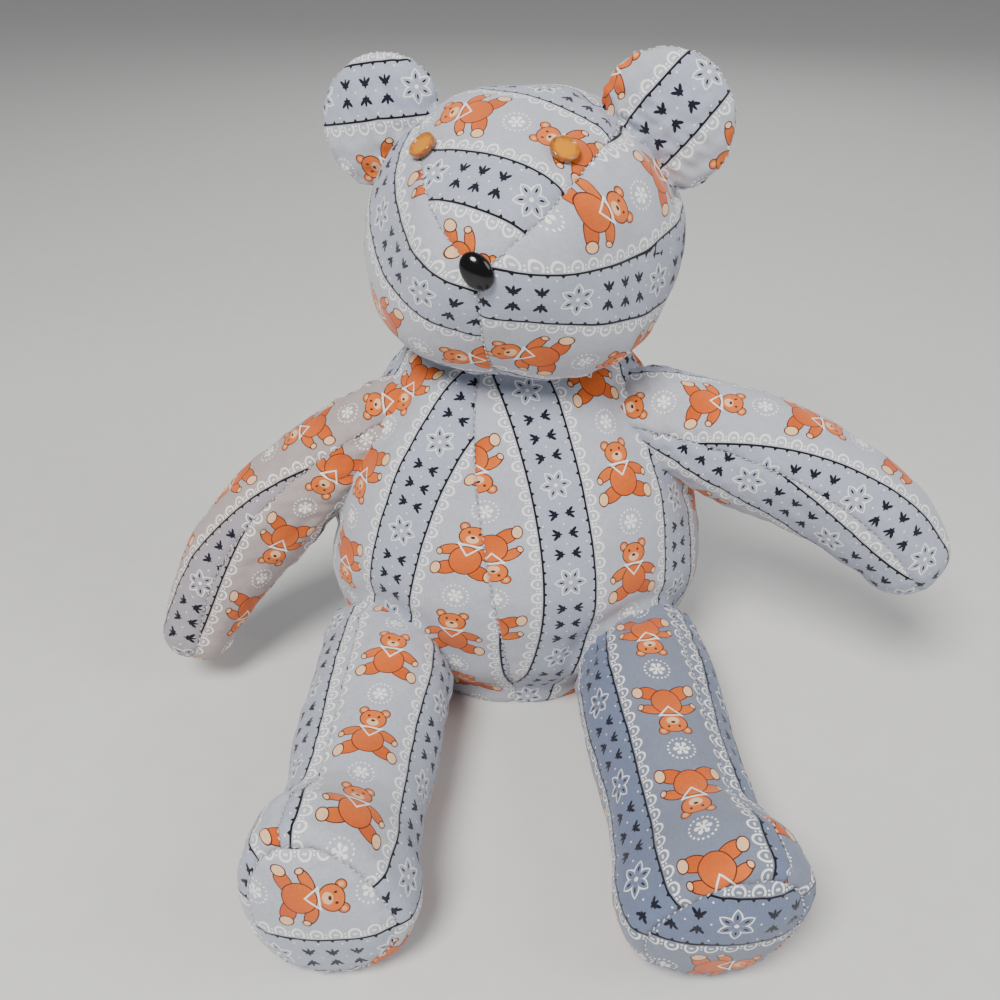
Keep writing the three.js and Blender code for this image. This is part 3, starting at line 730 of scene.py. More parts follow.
class Value:
    """A socket of a shader that is being built, with Python's operators for its maths."""

    def __init__(self, shader: "Shader", socket: bpy.types.NodeSocket) -> None:
        """Wraps a socket that belongs to a shader."""
        self.shader, self.socket = shader, socket

    def maths(self, operation: str, *others: "Value | float") -> "Value":
        """The result of a Math node on this value and others."""
        return self.shader.node("ShaderNodeMath", {"operation": operation}, [self, *others])

    def __add__(self, other: "Value | float") -> "Value":
        """self + other."""
        return self.maths("ADD", other)

    __radd__ = __add__

    def __sub__(self, other: "Value | float") -> "Value":
        """self - other."""
        return self.maths("SUBTRACT", other)

    def __rsub__(self, other: float) -> "Value":
        """other - self."""
        return self.shader.node("ShaderNodeMath", {"operation": "SUBTRACT"}, [other, self])

    def __mul__(self, other: "Value | float") -> "Value":
        """self * other."""
        return self.maths("MULTIPLY", other)

    __rmul__ = __mul__

    def __truediv__(self, other: "Value | float") -> "Value":
        """self / other."""
        return self.maths("DIVIDE", other)

    def __abs__(self) -> "Value":
        """The size of self."""
        return self.maths("ABSOLUTE")

    def floor(self) -> "Value":
        """self rounded down."""
        return self.maths("FLOOR")

    def cosine(self) -> "Value":
        """The cosine of self."""
        return self.maths("COSINE")

    def least(self, other: "Value | float") -> "Value":
        """The lower of the two."""
        return self.maths("MINIMUM", other)

    def most(self, other: "Value | float") -> "Value":
        """The higher of the two."""
        return self.maths("MAXIMUM", other)

    def about(self, period: float) -> "Value":
        """self wrapped into half a period each side of 0."""
        return self.maths("WRAP", period / 2, -period / 2)

    def below(self, edge: "Value | float", soft: float = 0.12) -> "Value":
        """1 where self is under the edge and 0 where it is over, with a soft step between."""
        return ((edge - self) * (1 / soft) + 0.5).clamped()

    def clamped(self) -> "Value":
        """self held between 0 and 1."""
        return self.shader.node("ShaderNodeClamp", {}, [self, 0.0, 1.0])


class Shader:
    """A material's node tree while it is being written."""

    def __init__(self, name: str) -> None:
        """Starts a material with one Principled shader and its output."""
        self.material = bpy.data.materials.new(name)
        self.material.use_nodes = True
        self.tree = self.material.node_tree
        self.principled = self.tree.nodes["Principled BSDF"]

    def node(self, kind: str, settings: dict[str, object], inputs: "list | dict", out: int = 0) -> Value:
        """Adds a node.

        Args:
            kind: The node's type.
            settings: Properties to set first.
            inputs: Values or links for its sockets, in order or by name. None skips a socket.
            out: Which output is wanted.

        Returns:
            That output, wrapped.
        """
        made = self.tree.nodes.new(kind)
        for key, value in settings.items():
            setattr(made, key, value)
        named = inputs.items() if isinstance(inputs, dict) else enumerate(inputs)
        for key, value in named:
            if value is not None:
                self.feed(made.inputs[key], value)
        return Value(self, made.outputs[out])

    def feed(self, socket: bpy.types.NodeSocket, value: object) -> None:
        """Links a value to a socket, or sets the socket's own value."""
        if isinstance(value, Value):
            self.tree.links.new(value.socket, socket)
        elif isinstance(value, (int, float)) or len(value) == len(socket.default_value):
            socket.default_value = value
        else:
            socket.default_value = (*value, 1.0)

    def set(self, **values: object) -> None:
        """Feeds the Principled shader's sockets, whose names are written with underscores."""
        for key, value in values.items():
            self.feed(self.principled.inputs[key.replace("_", " ")], value)

    def vector(self, x: Value | float, y: Value | float, z: Value | float = 0.0) -> Value:
        """Joins three values."""
        return self.node("ShaderNodeCombineXYZ", {}, [x, y, z])

    def parts(self, vector: Value) -> tuple[Value, Value]:
        """The first two parts of a vector."""
        first = self.node("ShaderNodeSeparateXYZ", {}, [vector])
        return first, Value(self, first.socket.node.outputs[1])

    def length(self, vector: Value) -> Value:
        """A vector's length."""
        return self.node("ShaderNodeVectorMath", {"operation": "LENGTH"}, [vector], 1)

    def mix(self, share: Value | float, a: object, b: object, blend: str = "MIX") -> Value:
        """Colour a, with share of colour b over it."""
        settings = {"data_type": "RGBA", "blend_type": blend}
        return self.node("ShaderNodeMix", settings, {0: share, 6: a, 7: b}, 2)

    def noise(self, vector: Value, scale: float, detail: float = 2.0) -> Value:
        """Smooth noise between 0 and 1."""
        return self.node("ShaderNodeTexNoise", {}, {"Vector": vector, "Scale": scale, "Detail": detail})

    def bump(self, height: Value, strength: float, distance: float, base: Value | None = None) -> Value:
        """A normal from a height."""
        inputs = {"Height": height, "Strength": strength, "Distance": distance}
        if base is not None:
            inputs["Normal"] = base
        return self.node("ShaderNodeBump", {}, inputs)


def linear(red: int, green: int, blue: int) -> Colour:
    """A colour given on the usual 0 to 255 scale, as the renderer's linear light."""
    shares = [value / 255 for value in (red, green, blue)]
    return tuple(s / 12.92 if s <= 0.04045 else ((s + 0.055) / 1.055) ** 2.4 for s in shares)


# ------------------------------------------------------------------ the printed cotton


@dataclass(frozen=True)
class Oval:
    """A turned oval of the print, in millimetres from its motif's middle.

    Args:
        x: Its middle, across.
        y: Its middle, along.
        a: Half its first diameter.
        b: Half its second diameter.
        turned: Turn in degrees.
    """

    x: float
    y: float
    a: float
    b: float
    turned: float = 0.0

    def reach(self, shader: Shader, at: Value) -> Value:
        """A value that is 1 on the oval's outline, less inside and more outside."""
        settings = {"vector_type": "TEXTURE"}
        inputs = [at, (self.x, self.y, 0), (0, 0, math.radians(self.turned)), (self.a, self.b, 1)]
        return shader.length(shader.node("ShaderNodeMapping", settings, inputs))

    def edge(self, width: float) -> float:
        """The change in reach that a width in millimetres makes."""
        return width / min(self.a, self.b)


@dataclass(frozen=True)
class Inks:
    """The print's colours."""

    orange: Colour = linear(226, 116, 48)
    shade: Colour = linear(204, 90, 30)
    outline: Colour = linear(84, 36, 18)
    cream: Colour = linear(242, 196, 150)
    white: Colour = linear(250, 249, 247)
    navy: Colour = linear(14, 15, 34)
    black: Colour = linear(12, 12, 18)


@dataclass(frozen=True)
class Tint:
    """The colours of one piece of the cotton.

    Args:
        name: The material's name.
        slot: The record's material slot. It is not used.
        wide: Ground of the wide stripe.
        narrow: Ground of the narrow stripe.
    """

    name: str
    slot: str
    wide: Colour
    narrow: Colour


GREY = Tint("grey_cotton", "grey_cotton", linear(181, 184, 194), linear(167, 173, 190))
WARM = Tint("warm_cotton", "warm_cotton", linear(174, 162, 160), linear(160, 154, 162))
BLUE = Tint("blue_cotton", "blue_cotton", linear(124, 132, 150), linear(108, 120, 148))


@dataclass
class Print:
    """The folk print: wide stripes of bears and rosettes, and narrow ones of stars and sprigs.

    Lengths are in millimetres on the flat cloth.
    """

    inks: Inks = field(default_factory=Inks)
    repeat: float = REPEAT
    narrow: float = NARROW
    pitch: float = PITCH
    tooth_pitch: float = 5.6
    tooth: float = 1.6
    line: float = 0.95
    loop_pitch: float = 7.4
    outline: float = 0.4
    motif: float = 1.16

    def draw(self, shader: Shader, tint: Tint) -> Value:
        """The cloth's colour.

        Args:
            shader: The material that is being written.
            tint: The colours of the ground.

        Returns:
            The colour.
        """
        uv = shader.node("ShaderNodeUVMap", {"uv_map": "cloth"}, [])
        across, along = shader.parts(shader.node(
            "ShaderNodeVectorMath", {"operation": "SCALE"}, {0: uv, "Scale": 1 / MM}))
        column = (across / self.repeat).floor()
        upright = 1 - 4 * abs(column * 0.5 - (column * 0.5).floor())
        wide = self.repeat - self.narrow
        x = (across - column * self.repeat - wide / 2) * upright
        y = (along - 8) * upright + 8
        from_narrow = abs((across - wide - self.narrow / 2).about(self.repeat))
        out = from_narrow - self.narrow / 2
        colour = shader.mix(out.below(0.0), tint.wide, tint.narrow)
        colour = self.borders(shader, colour, out, along)
        bear = shader.vector(x * (1 / self.motif), y.about(self.pitch) * (1 / self.motif) + 0.6)
        rosette = shader.vector(x, (y + self.pitch / 2).about(self.pitch))
        colour = self.rosette(shader, colour, rosette)
        colour = self.bear(shader, colour, bear)
        beside = along + 9.5 * upright + 9.5
        colour = self.star(shader, colour, shader.vector(from_narrow, beside.about(self.pitch)))
        between = (beside + self.pitch / 2).about(self.pitch)
        return self.sprigs(shader, colour, from_narrow, between)

    def borders(self, shader: Shader, colour: Value, out: Value, along: Value) -> Value:
        """Draws the toothed line and its row of loops along both sides of the narrow stripe."""
        tooth = abs(along.about(self.tooth_pitch)) - out * (1.2 / self.tooth)
        teeth = tooth.below(1.2) * out.below(0.0)
        line = abs(out).below(self.line / 2)
        y = along.about(self.loop_pitch)
        loop = Oval(2.5, 0, 2.7, 2.35)
        reach = loop.reach(shader, shader.vector(out, y))
        ring = abs(reach - 1).below(loop.edge(0.4), 0.08) * (1.1 - out).below(0.0)
        seed = Oval(2.6, 0, 0.55, 1.0).reach(shader, shader.vector(out, y)).below(1.0, 0.2)
        apart = (along + self.loop_pitch / 2).about(self.loop_pitch)
        dots = Oval(1.5, 0, 0.5, 0.5).reach(shader, shader.vector(out, apart)).least(
            Oval(3.1, 0, 0.4, 0.4).reach(shader, shader.vector(out, apart)))
        colour = shader.mix(ring.most(seed * 0.8).most(dots.below(1.0, 0.2)), colour, self.inks.white)
        return shader.mix(line.most(teeth), colour, self.inks.black)

    def fill(self, shader: Shader, colour: Value, at: Value, oval: Oval, ink: object) -> Value:
        """Paints an oval with a dark outline round it."""
        reach = oval.reach(shader, at)
        soft = oval.edge(0.12)
        colour = shader.mix(reach.below(1.0, soft), colour, self.inks.outline)
        return shader.mix(reach.below(1 - oval.edge(self.outline), soft), colour, ink)

    def bear(self, shader: Shader, colour: Value, at: Value) -> Value:
        """Draws one small sitting bear, with a white kerchief at its neck."""
        x, y = shader.parts(at)
        half = shader.vector(abs(x), y)
        fur = shader.mix(((y - x * 0.4) * 0.05 + 0.55).clamped(), self.inks.shade, self.inks.orange)
        for oval in (Oval(6.0, -7.6, 5.4, 3.1, -24), Oval(7.0, 0.4, 4.8, 2.3, -26)):
            colour = self.fill(shader, colour, half, oval, fur)
        for oval in (Oval(10.2, -9.0, 2.2, 3.0, 10), Oval(10.4, -1.6, 1.3, 1.7, -20)):
            colour = self.fill(shader, colour, half, oval, self.inks.cream)
        colour = self.fill(shader, colour, at, Oval(0, -3.0, 6.2, 6.4), fur)
        colour = self.fill(shader, colour, half, Oval(4.3, 11.4, 2.1, 2.1), fur)
        colour = self.fill(shader, colour, at, Oval(0, 7.9, 5.5, 4.5), fur)
        ears = Oval(4.5, 11.5, 0.9, 0.9).reach(shader, half).below(1.0, 0.3) * 0.6
        muzzle = Oval(0, 6.6, 2.4, 1.8).reach(shader, at).below(1.0, 0.2)
        colour = shader.mix(ears.most(muzzle), colour, self.inks.cream)
        eyes = Oval(2.0, 9.4, 0.5, 0.6).reach(shader, half).below(1.0, 0.2)
        nose = Oval(0, 7.4, 0.9, 0.6).reach(shader, at).below(1.0, 0.2)
        colour = shader.mix(eyes.most(nose), colour, self.inks.outline)
        corner = abs(x) * 1.1 - y
        sides = abs(corner - 0.9).below(0.45) * y.below(4.2)
        kerchief = sides.most(abs(y - 3.8).below(0.35) * abs(x).below(4.6))
        return shader.mix(kerchief * abs(x).below(4.8), colour, self.inks.white)

    def folded(self, shader: Shader, at: Value, count: int) -> tuple[Value, Value]:
        """Distance from a motif's middle, and distance round it from the nearest of its rays."""
        x, y = shader.parts(at)
        far = shader.length(at)
        angle = y.maths("ARCTAN2", x)
        return far, far * angle.about(TURN / count)

    def rosette(self, shader: Shader, colour: Value, at: Value) -> Value:
        """Draws a snowflake in a ring of dots."""
        far, beside = self.folded(shader, at, 6)
        rays = abs(beside).below(far * 0.12 + 0.25) * far.below(3.5)
        tips = Oval(2.7, 0, 0.9, 1.0).reach(shader, shader.vector(far, beside)).below(1.0, 0.2)
        far, beside = self.folded(shader, at, 18)
        dots = Oval(5.6, 0, 0.48, 0.48).reach(shader, shader.vector(far, beside)).below(1.0, 0.25)
        return shader.mix(rays.most(tips).most(dots), colour, self.inks.white)

    def star(self, shader: Shader, colour: Value, at: Value) -> Value:
        """Draws a six-petalled star in outline, with a dark seed in each petal."""
        far, beside = self.folded(shader, at, 6)
        flat = shader.vector(far, beside)
        along = (far - 3.9) * (1 / 3.5)
        petal = abs(abs(beside) * (1 / 2.1) + along * along - 0.95)
        outline = petal.below(0.17, 0.14) * (2.0 - far).below(0.0)
        heart = far.below(0.9)
        colour = shader.mix(outline.most(heart), colour, self.inks.white)
        seed = Oval(4.2, 0, 1.1, 0.42).reach(shader, flat).below(1.0, 0.2)
        return shader.mix(seed, colour, self.inks.navy)

    def sprigs(self, shader: Shader, colour: Value, from_middle: Value, along: Value) -> Value:
        """Draws three pairs of three-leaved sprigs, whose tips point at each other across the stripe."""
        y = along.about(9.6)
        at = shader.vector(from_middle, abs(y))
        stem = Oval(3.9, 0, 2.6, 0.62).reach(shader, at)
        leaf = Oval(4.3, 1.35, 1.9, 0.72, 42).reach(shader, at)
        bar = Oval(2.9, 0, 0.6, 1.7).reach(shader, at)
        ink = stem.least(leaf).least(bar).below(1.0, 0.15) * abs(along).below(14.4)
        colour = shader.mix(ink, colour, self.inks.navy)
        edge = shader.vector(from_middle, (along + 4.8).about(9.6))
        dots = Oval(9.6, 0, 0.42, 0.42).reach(shader, edge)
        dots = dots.least(Oval(0.0, 0, 0.42, 0.42).reach(shader, edge))
        return shader.mix(dots.below(1.0, 0.25) * abs(along).below(16.0), colour, self.inks.white)


@dataclass
class Cotton:
    """Printed plain-woven cotton, a little heathered, soft and dull."""

    tint: Tint
    thread: float = 0.62 * MM

    def material(self) -> bpy.types.Material:
        """Writes the cloth's material."""
        shader = Shader(self.tint.name)
        colour = Print().draw(shader, self.tint)
        uv = shader.node("ShaderNodeUVMap", {"uv_map": "cloth"}, [])
        across, along = shader.parts(uv)
        warp = shader.noise(shader.vector(across * 2600, along * 210), 1.0)
        weft = shader.noise(shader.vector(across * 210, along * 2600), 1.0)
        slub = warp + weft
        wear = shader.noise(shader.vector(across * 30, along * 30), 1.0, 3.0)
        light = (slub - 1.0) * 0.42 + (wear - 0.5) * 0.12 + 1.0
        shade = shader.vector(light, light, light)
        colour = shader.mix(1.0, colour, shade, "MULTIPLY")
        turns = TURN / self.thread
        weave = (across * turns).cosine() * (along * turns).cosine()
        height = weave * 0.35 + slub * 0.6
        shader.set(Base_Color=colour, Roughness=(slub * 0.12 + 0.76),
                   Normal=shader.bump(height, 0.55, 0.16 * MM),
                   Sheen_Weight=0.22, Sheen_Roughness=0.5, Specular_IOR_Level=0.25)
        return shader.material


# ------------------------------------------------------------------ other finishes


@dataclass(frozen=True)
class Fibre:
    """Loose white stuffing."""

    colour: Colour = linear(240, 238, 232)

    def material(self) -> bpy.types.Material:
        """Writes the stuffing's material."""
        shader = Shader("loose_fibre")
        spot = shader.node("ShaderNodeTexCoord", {}, [], 3)
        clumps = shader.noise(spot, 160.0, 6.0)
        shadow = tuple(part * 0.72 for part in self.colour)
        shader.set(Base_Color=shader.mix(clumps, shadow, self.colour), Roughness=clumps * 0.1 + 0.88,
                   Normal=shader.bump(clumps, 0.8, 1.2 * MM))
        return shader.material


@dataclass(frozen=True)
class Amber:
    """Glossy amber plastic, deeper in colour at its rim."""

    face: Colour = linear(222, 142, 8)
    deep: Colour = linear(128, 54, 0)
    radius: float = 6.3 * MM

    def material(self) -> bpy.types.Material:
        """Writes the button's material."""
        shader = Shader("amber_plastic")
        spot = shader.node("ShaderNodeTexCoord", {}, [], 3)
        x, y = shader.parts(spot)
        far = shader.length(shader.vector(x, y)) * (1 / self.radius)
        swirl = shader.noise(spot, 420.0, 3.0)
        share = ((far - 0.6) * 1.9 + (swirl - 0.5) * 0.8).clamped()
        shader.set(Base_Color=shader.mix(share, self.face, self.deep), Roughness=swirl * 0.06 + 0.05,
                   Normal=shader.bump(swirl, 0.25, 0.3 * MM), Coat_Roughness=0.04, IOR=1.54)
        shader.set(Coat_Weight=0.8)
        return shader.material


@dataclass(frozen=True)
class Gloss:
    """Polished plastic with the faintest unevenness and a little dust."""

    name: str
    colour: Colour
    roughness: float

    def material(self) -> bpy.types.Material:
        """Writes the plastic's material."""
        shader = Shader(self.name)
        spot = shader.node("ShaderNodeTexCoord", {}, [], 3)
        dust = shader.noise(spot, 900.0, 4.0)
        paler = tuple(part * 1.2 for part in self.colour)
        shader.set(Base_Color=shader.mix(dust, self.colour, paler), Roughness=dust * 0.1 + self.roughness,
                   Normal=shader.bump(dust, 0.06, 0.1 * MM))
        return shader.material


@dataclass(frozen=True)
class Thread:
    """Twisted sewing thread."""

    name: str
    colour: Colour
    twist: float = 0.35 * MM

    def material(self) -> bpy.types.Material:
        """Writes the thread's material."""
        shader = Shader(self.name)
        spot = shader.node("ShaderNodeTexCoord", {}, [], 3)
        x, y = shader.parts(spot)
        ply = ((x + y) * (TURN / self.twist)).cosine() * 0.5 + 0.5
        # Painted shade: the thread's colour is darker in the grooves between its plies, where the bump is
        # lowest.
        dark = tuple(part * 0.7 for part in self.colour)
        shader.set(Base_Color=shader.mix(ply, dark, self.colour), Roughness=ply * 0.1 + 0.65,
                   Normal=shader.bump(ply, 0.4, 0.08 * MM))
        return shader.material


# ------------------------------------------------------------------ small solid pieces


def solid(name: str, points: Array, faces: list, origin: Array) -> bpy.types.Object:
    """A smooth mesh object in the row frame.

    Args:
        name: The object's name.
        points: Its points, about the bear's own origin.
        faces: Its faces, as lists of point numbers.
        origin: Where the bear's own origin lies in the row frame.

    Returns:
        The new object.
    """
    mesh = bpy.data.meshes.new(name)
    mesh.from_pydata((np.asarray(points) + origin).tolist(), [], faces)
    mesh.validate()
    for polygon in mesh.polygons:
        polygon.use_smooth = True
    made = bpy.data.objects.new(name, mesh)
    bpy.context.scene.collection.objects.link(made)
    return made


def tube_faces(rings: int, around: int, start: int = 0, looped: bool = False) -> list:
    """Quads between rings of points, each with its first point next to its last.

    Args:
        rings: How many rings there are.
        around: How many points each ring has.
        start: The number of the first point.
        looped: True if the last ring is also followed by the first.

    Returns:
        The faces.
    """
    index = start + np.arange(rings * around).reshape(rings, around)
    if looped:
        index = np.concatenate([index, index[:1]])
    right = np.roll(index, -1, 1)
    return np.stack([index[:-1], right[:-1], right[1:], index[1:]], -1).reshape(-1, 4).tolist()


def lathe(outline: Sequence[tuple[float, float]], around: int = 48) -> tuple[Array, list]:
    """Points and faces of a solid turned about +Z.

    Args:
        outline: Radius and height of its half outline, which starts and ends on the axis.
        around: Points in each ring.

    Returns:
        The points and the faces.
    """
    angle = TURN * np.arange(around) / around
    inner = np.array(outline[1:-1])
    rings = np.stack([inner[:, :1] * np.cos(angle), inner[:, :1] * np.sin(angle),
                      np.repeat(inner[:, 1:], around, 1)], -1)
    points = np.concatenate([rings.reshape(-1, 3), [[0, 0, outline[0][1]], [0, 0, outline[-1][1]]]])
    faces = tube_faces(len(inner), around)
    low, high, last = len(points) - 2, len(points) - 1, (len(inner) - 1) * around
    for i in range(around):
        j = (i + 1) % around
        faces += [[j, i, low], [last + i, last + j, high]]
    return points, faces


def hoop(radius: float, wire: float, centre: Array, axis: int) -> tuple[Array, list]:
    """Points and faces of a closed ring of wire whose own axis is a row axis."""
    around, section = 28, 10
    a, b = TURN * np.arange(around) / around, TURN * np.arange(section) / section
    far = radius + wire * np.cos(b)[None, :]
    parts = [far * np.cos(a)[:, None], far * np.sin(a)[:, None], np.repeat(wire * np.sin(b)[None], around, 0)]
    ring = np.stack(parts[-axis - 1:] + parts[:-axis - 1], -1) if axis < 2 else np.stack(parts, -1)
    return ring.reshape(-1, 3) + centre, tube_faces(around, section, looped=True)


@dataclass
class Eye:
    """A dished button with a raised round rim, and a wire shank behind it. Sizes in millimetres."""

    radius: float = 6.3
    back: float = 0.5
    rim: float = 3.2
    face: float = 2.4
    rim_width: float = 1.15
    dish: float = 0.25
    shank: float = 1.8
    wire: float = 0.7

    def outline(self) -> list[tuple[float, float]]:
        """The button's half outline, from its back to its face."""
        bead = self.rim_width / 2
        top = self.rim - bead
        arc = [(self.radius - bead + bead * math.cos(a), top + bead * math.sin(a))
               for a in np.linspace(0, math.pi, 9)]
        inner = self.radius - self.rim_width
        foot = [(0, self.back), (self.radius * 0.8, self.back), (self.radius * 0.95, self.back + 0.25),
                (self.radius, self.back + 0.8)]
        dish = [(inner - 0.12, self.face + 0.1), (inner - 0.5, self.face)]
        crown = [(inner * share, self.face + self.dish * (1 - share**2)) for share in (0.7, 0.45, 0.2)]
        return foot + arc + dish + crown + [(0, self.face + self.dish)]

    def build(self, name: str, seat: Matrix) -> bpy.types.Object:
        """Builds the eye on its seat."""
        points, faces = lathe(self.outline())
        ring, links = hoop(self.shank, self.wire, np.array([0, 0, -self.shank]), 1)
        faces = faces + [[len(points) + k for k in face] for face in links]
        made = solid(name, np.concatenate([points, ring]) * MM, faces, np.zeros(3))
        made.matrix_world = seat
        return made


@dataclass
class Nose:
    """A glossy oval dome with its locking post. Sizes in millimetres."""

    half_width: float = 6.4
    half_height: float = 8.4
    depth: float = 5.2
    lift: float = 0.2
    edge: float = 1.2
    roll: float = math.radians(40)
    post: float = 2.0
    post_length: float = 14.0

    def build(self, name: str, seat: Matrix) -> bpy.types.Object:
        """Builds the nose on its seat."""
        dome = [(math.cos(a), self.lift + self.edge + (self.depth - self.edge) * math.sin(a))
                for a in np.linspace(0, QUARTER, 14)[:-1]]
        foot = [(0, self.lift), (0.84, self.lift), (0.95, self.lift + 0.35), (0.99, self.lift + 0.8)]
        points, faces = lathe(foot + dome + [(0, self.lift + self.depth)], 64)
        points = turn(points * np.array([self.half_width, self.half_height, 1]), 2, self.roll)
        low = self.edge - self.post_length
        shaft = [(0, low), (self.post * 0.8, low), (self.post, low + 0.4),
                 (self.post, self.edge), (0, self.edge)]
        more, links = lathe(shaft, 24)
        faces = faces + [[len(points) + k for k in face] for face in links]
        made = solid(name, np.concatenate([points, more]) * MM, faces, np.zeros(3))
        made.matrix_world = seat
        return made


@dataclass
class Core:
    """A stuffed form's filling, as one closed lumpy solid inside the cotton."""

    inset: float = 5.2 * MM
    lump: float = 0.8 * MM
    lump_length: float = 16 * MM

    def build(self, name: str, rings: Array, origin: Array) -> bpy.types.Object:
        """Builds the filling.

        Args:
            name: The object's name.
            rings: Rings of points on the form's skin, from one end to the other.
            origin: Where the bear's own origin lies in the row frame.

        Returns:
            The new object.
        """
        around = rings.shape[1]
        flat = np.concatenate([rings.reshape(-1, 3), [rings[0].mean(0), rings[-1].mean(0)]])
        faces = tube_faces(len(rings), around)
        low, high, last = len(flat) - 2, len(flat) - 1, (len(rings) - 1) * around
        for i in range(around):
            j = (i + 1) % around
            faces += [[j, i, low], [last + i, last + j, high]]
        made = solid(name, flat, faces, origin)
        work = bmesh.new()
        work.from_mesh(made.data)
        bmesh.ops.remove_doubles(work, verts=work.verts, dist=0.2 * MM)
        bmesh.ops.recalc_face_normals(work, faces=work.faces)
        work.normal_update()
        for vert in work.verts:
            lump = float(waves(np.array(vert.co), self.lump_length, 23)) * self.lump
            vert.co -= vert.normal * (self.inset - lump)
            vert.co.z = max(vert.co.z, self.inset / 2)
        work.to_mesh(made.data)
        work.free()
        return made


@dataclass
class Stitches:
    """Small stitches of thread along the seams, gathered into one mesh."""

    pitch: float = 3.1 * MM
    length: float = 1.9 * MM
    radius: float = 0.36 * MM
    slant: float = math.radians(18)
    sides: int = 6
    lines: list[tuple[Array, Array]] = field(default_factory=list)

    def along(self, points: Array, normals: Array) -> None:
        """Adds a seam to be stitched."""
        if len(points) > 2:
            self.lines.append((points, normals))

    def build(self, name: str, origin: Array) -> bpy.types.Object:
        """Builds every stitch of the seams that were added."""
        rng = np.random.default_rng(5)
        angle = TURN * np.arange(self.sides) / self.sides
        points, faces = [], []
        for line, normals in self.lines:
            travelled = np.concatenate([[0], np.cumsum(np.linalg.norm(np.diff(line, axis=0), axis=1))])
            for at in np.arange(self.pitch, travelled[-1] - self.pitch / 2, self.pitch):
                at = at + rng.uniform(-0.3, 0.3) * MM
                spot, ahead = (np.array([np.interp(at + d, travelled, line[:, k]) for k in range(3)])
                               for d in (0, 0.5 * MM))
                normal = unit(np.array([np.interp(at, travelled, normals[:, k]) for k in range(3)]))
                forward = unit(ahead - spot)
                side = unit(np.cross(normal, forward))
                slant = self.slant * rng.uniform(0.3, 1.6)
                forward = forward * math.cos(slant) + side * math.sin(slant)
                side = np.cross(normal, forward)
                spot = spot + normal * self.radius
                start = sum(len(p) for p in points)
                half = self.length / 2 * rng.uniform(0.8, 1.15)
                level = np.cos(angle)[:, None] * side * self.radius
                ring = level + np.sin(angle)[:, None] * normal * self.radius
                dip = normal * self.radius
                points.append(np.concatenate([
                    [spot - forward * half - dip], spot - forward * half * 0.6 + ring,
                    spot + forward * half * 0.6 + ring, [spot + forward * half - dip]]))
                n = self.sides
                for i in range(n):
                    j = (i + 1) % n
                    a, b, c, d = start + 1 + i, start + 1 + j, start + 1 + n + j, start + 1 + n + i
                    faces += [[start, b, a], [a, b, c, d], [start + 1 + 2 * n, d, c]]
        return solid(name, np.concatenate(points), faces, origin)


# ------------------------------------------------------------------ the bear


def spread(count: int, low: float = 0.0, high: float = 1.0, ends: float = 0.35) -> Array:
    """Values from low to high, a little closer together near both ends."""
    t = np.linspace(0, 1, count)
    eased = t - ends * np.sin(TURN * t) / TURN
    return low + (high - low) * eased


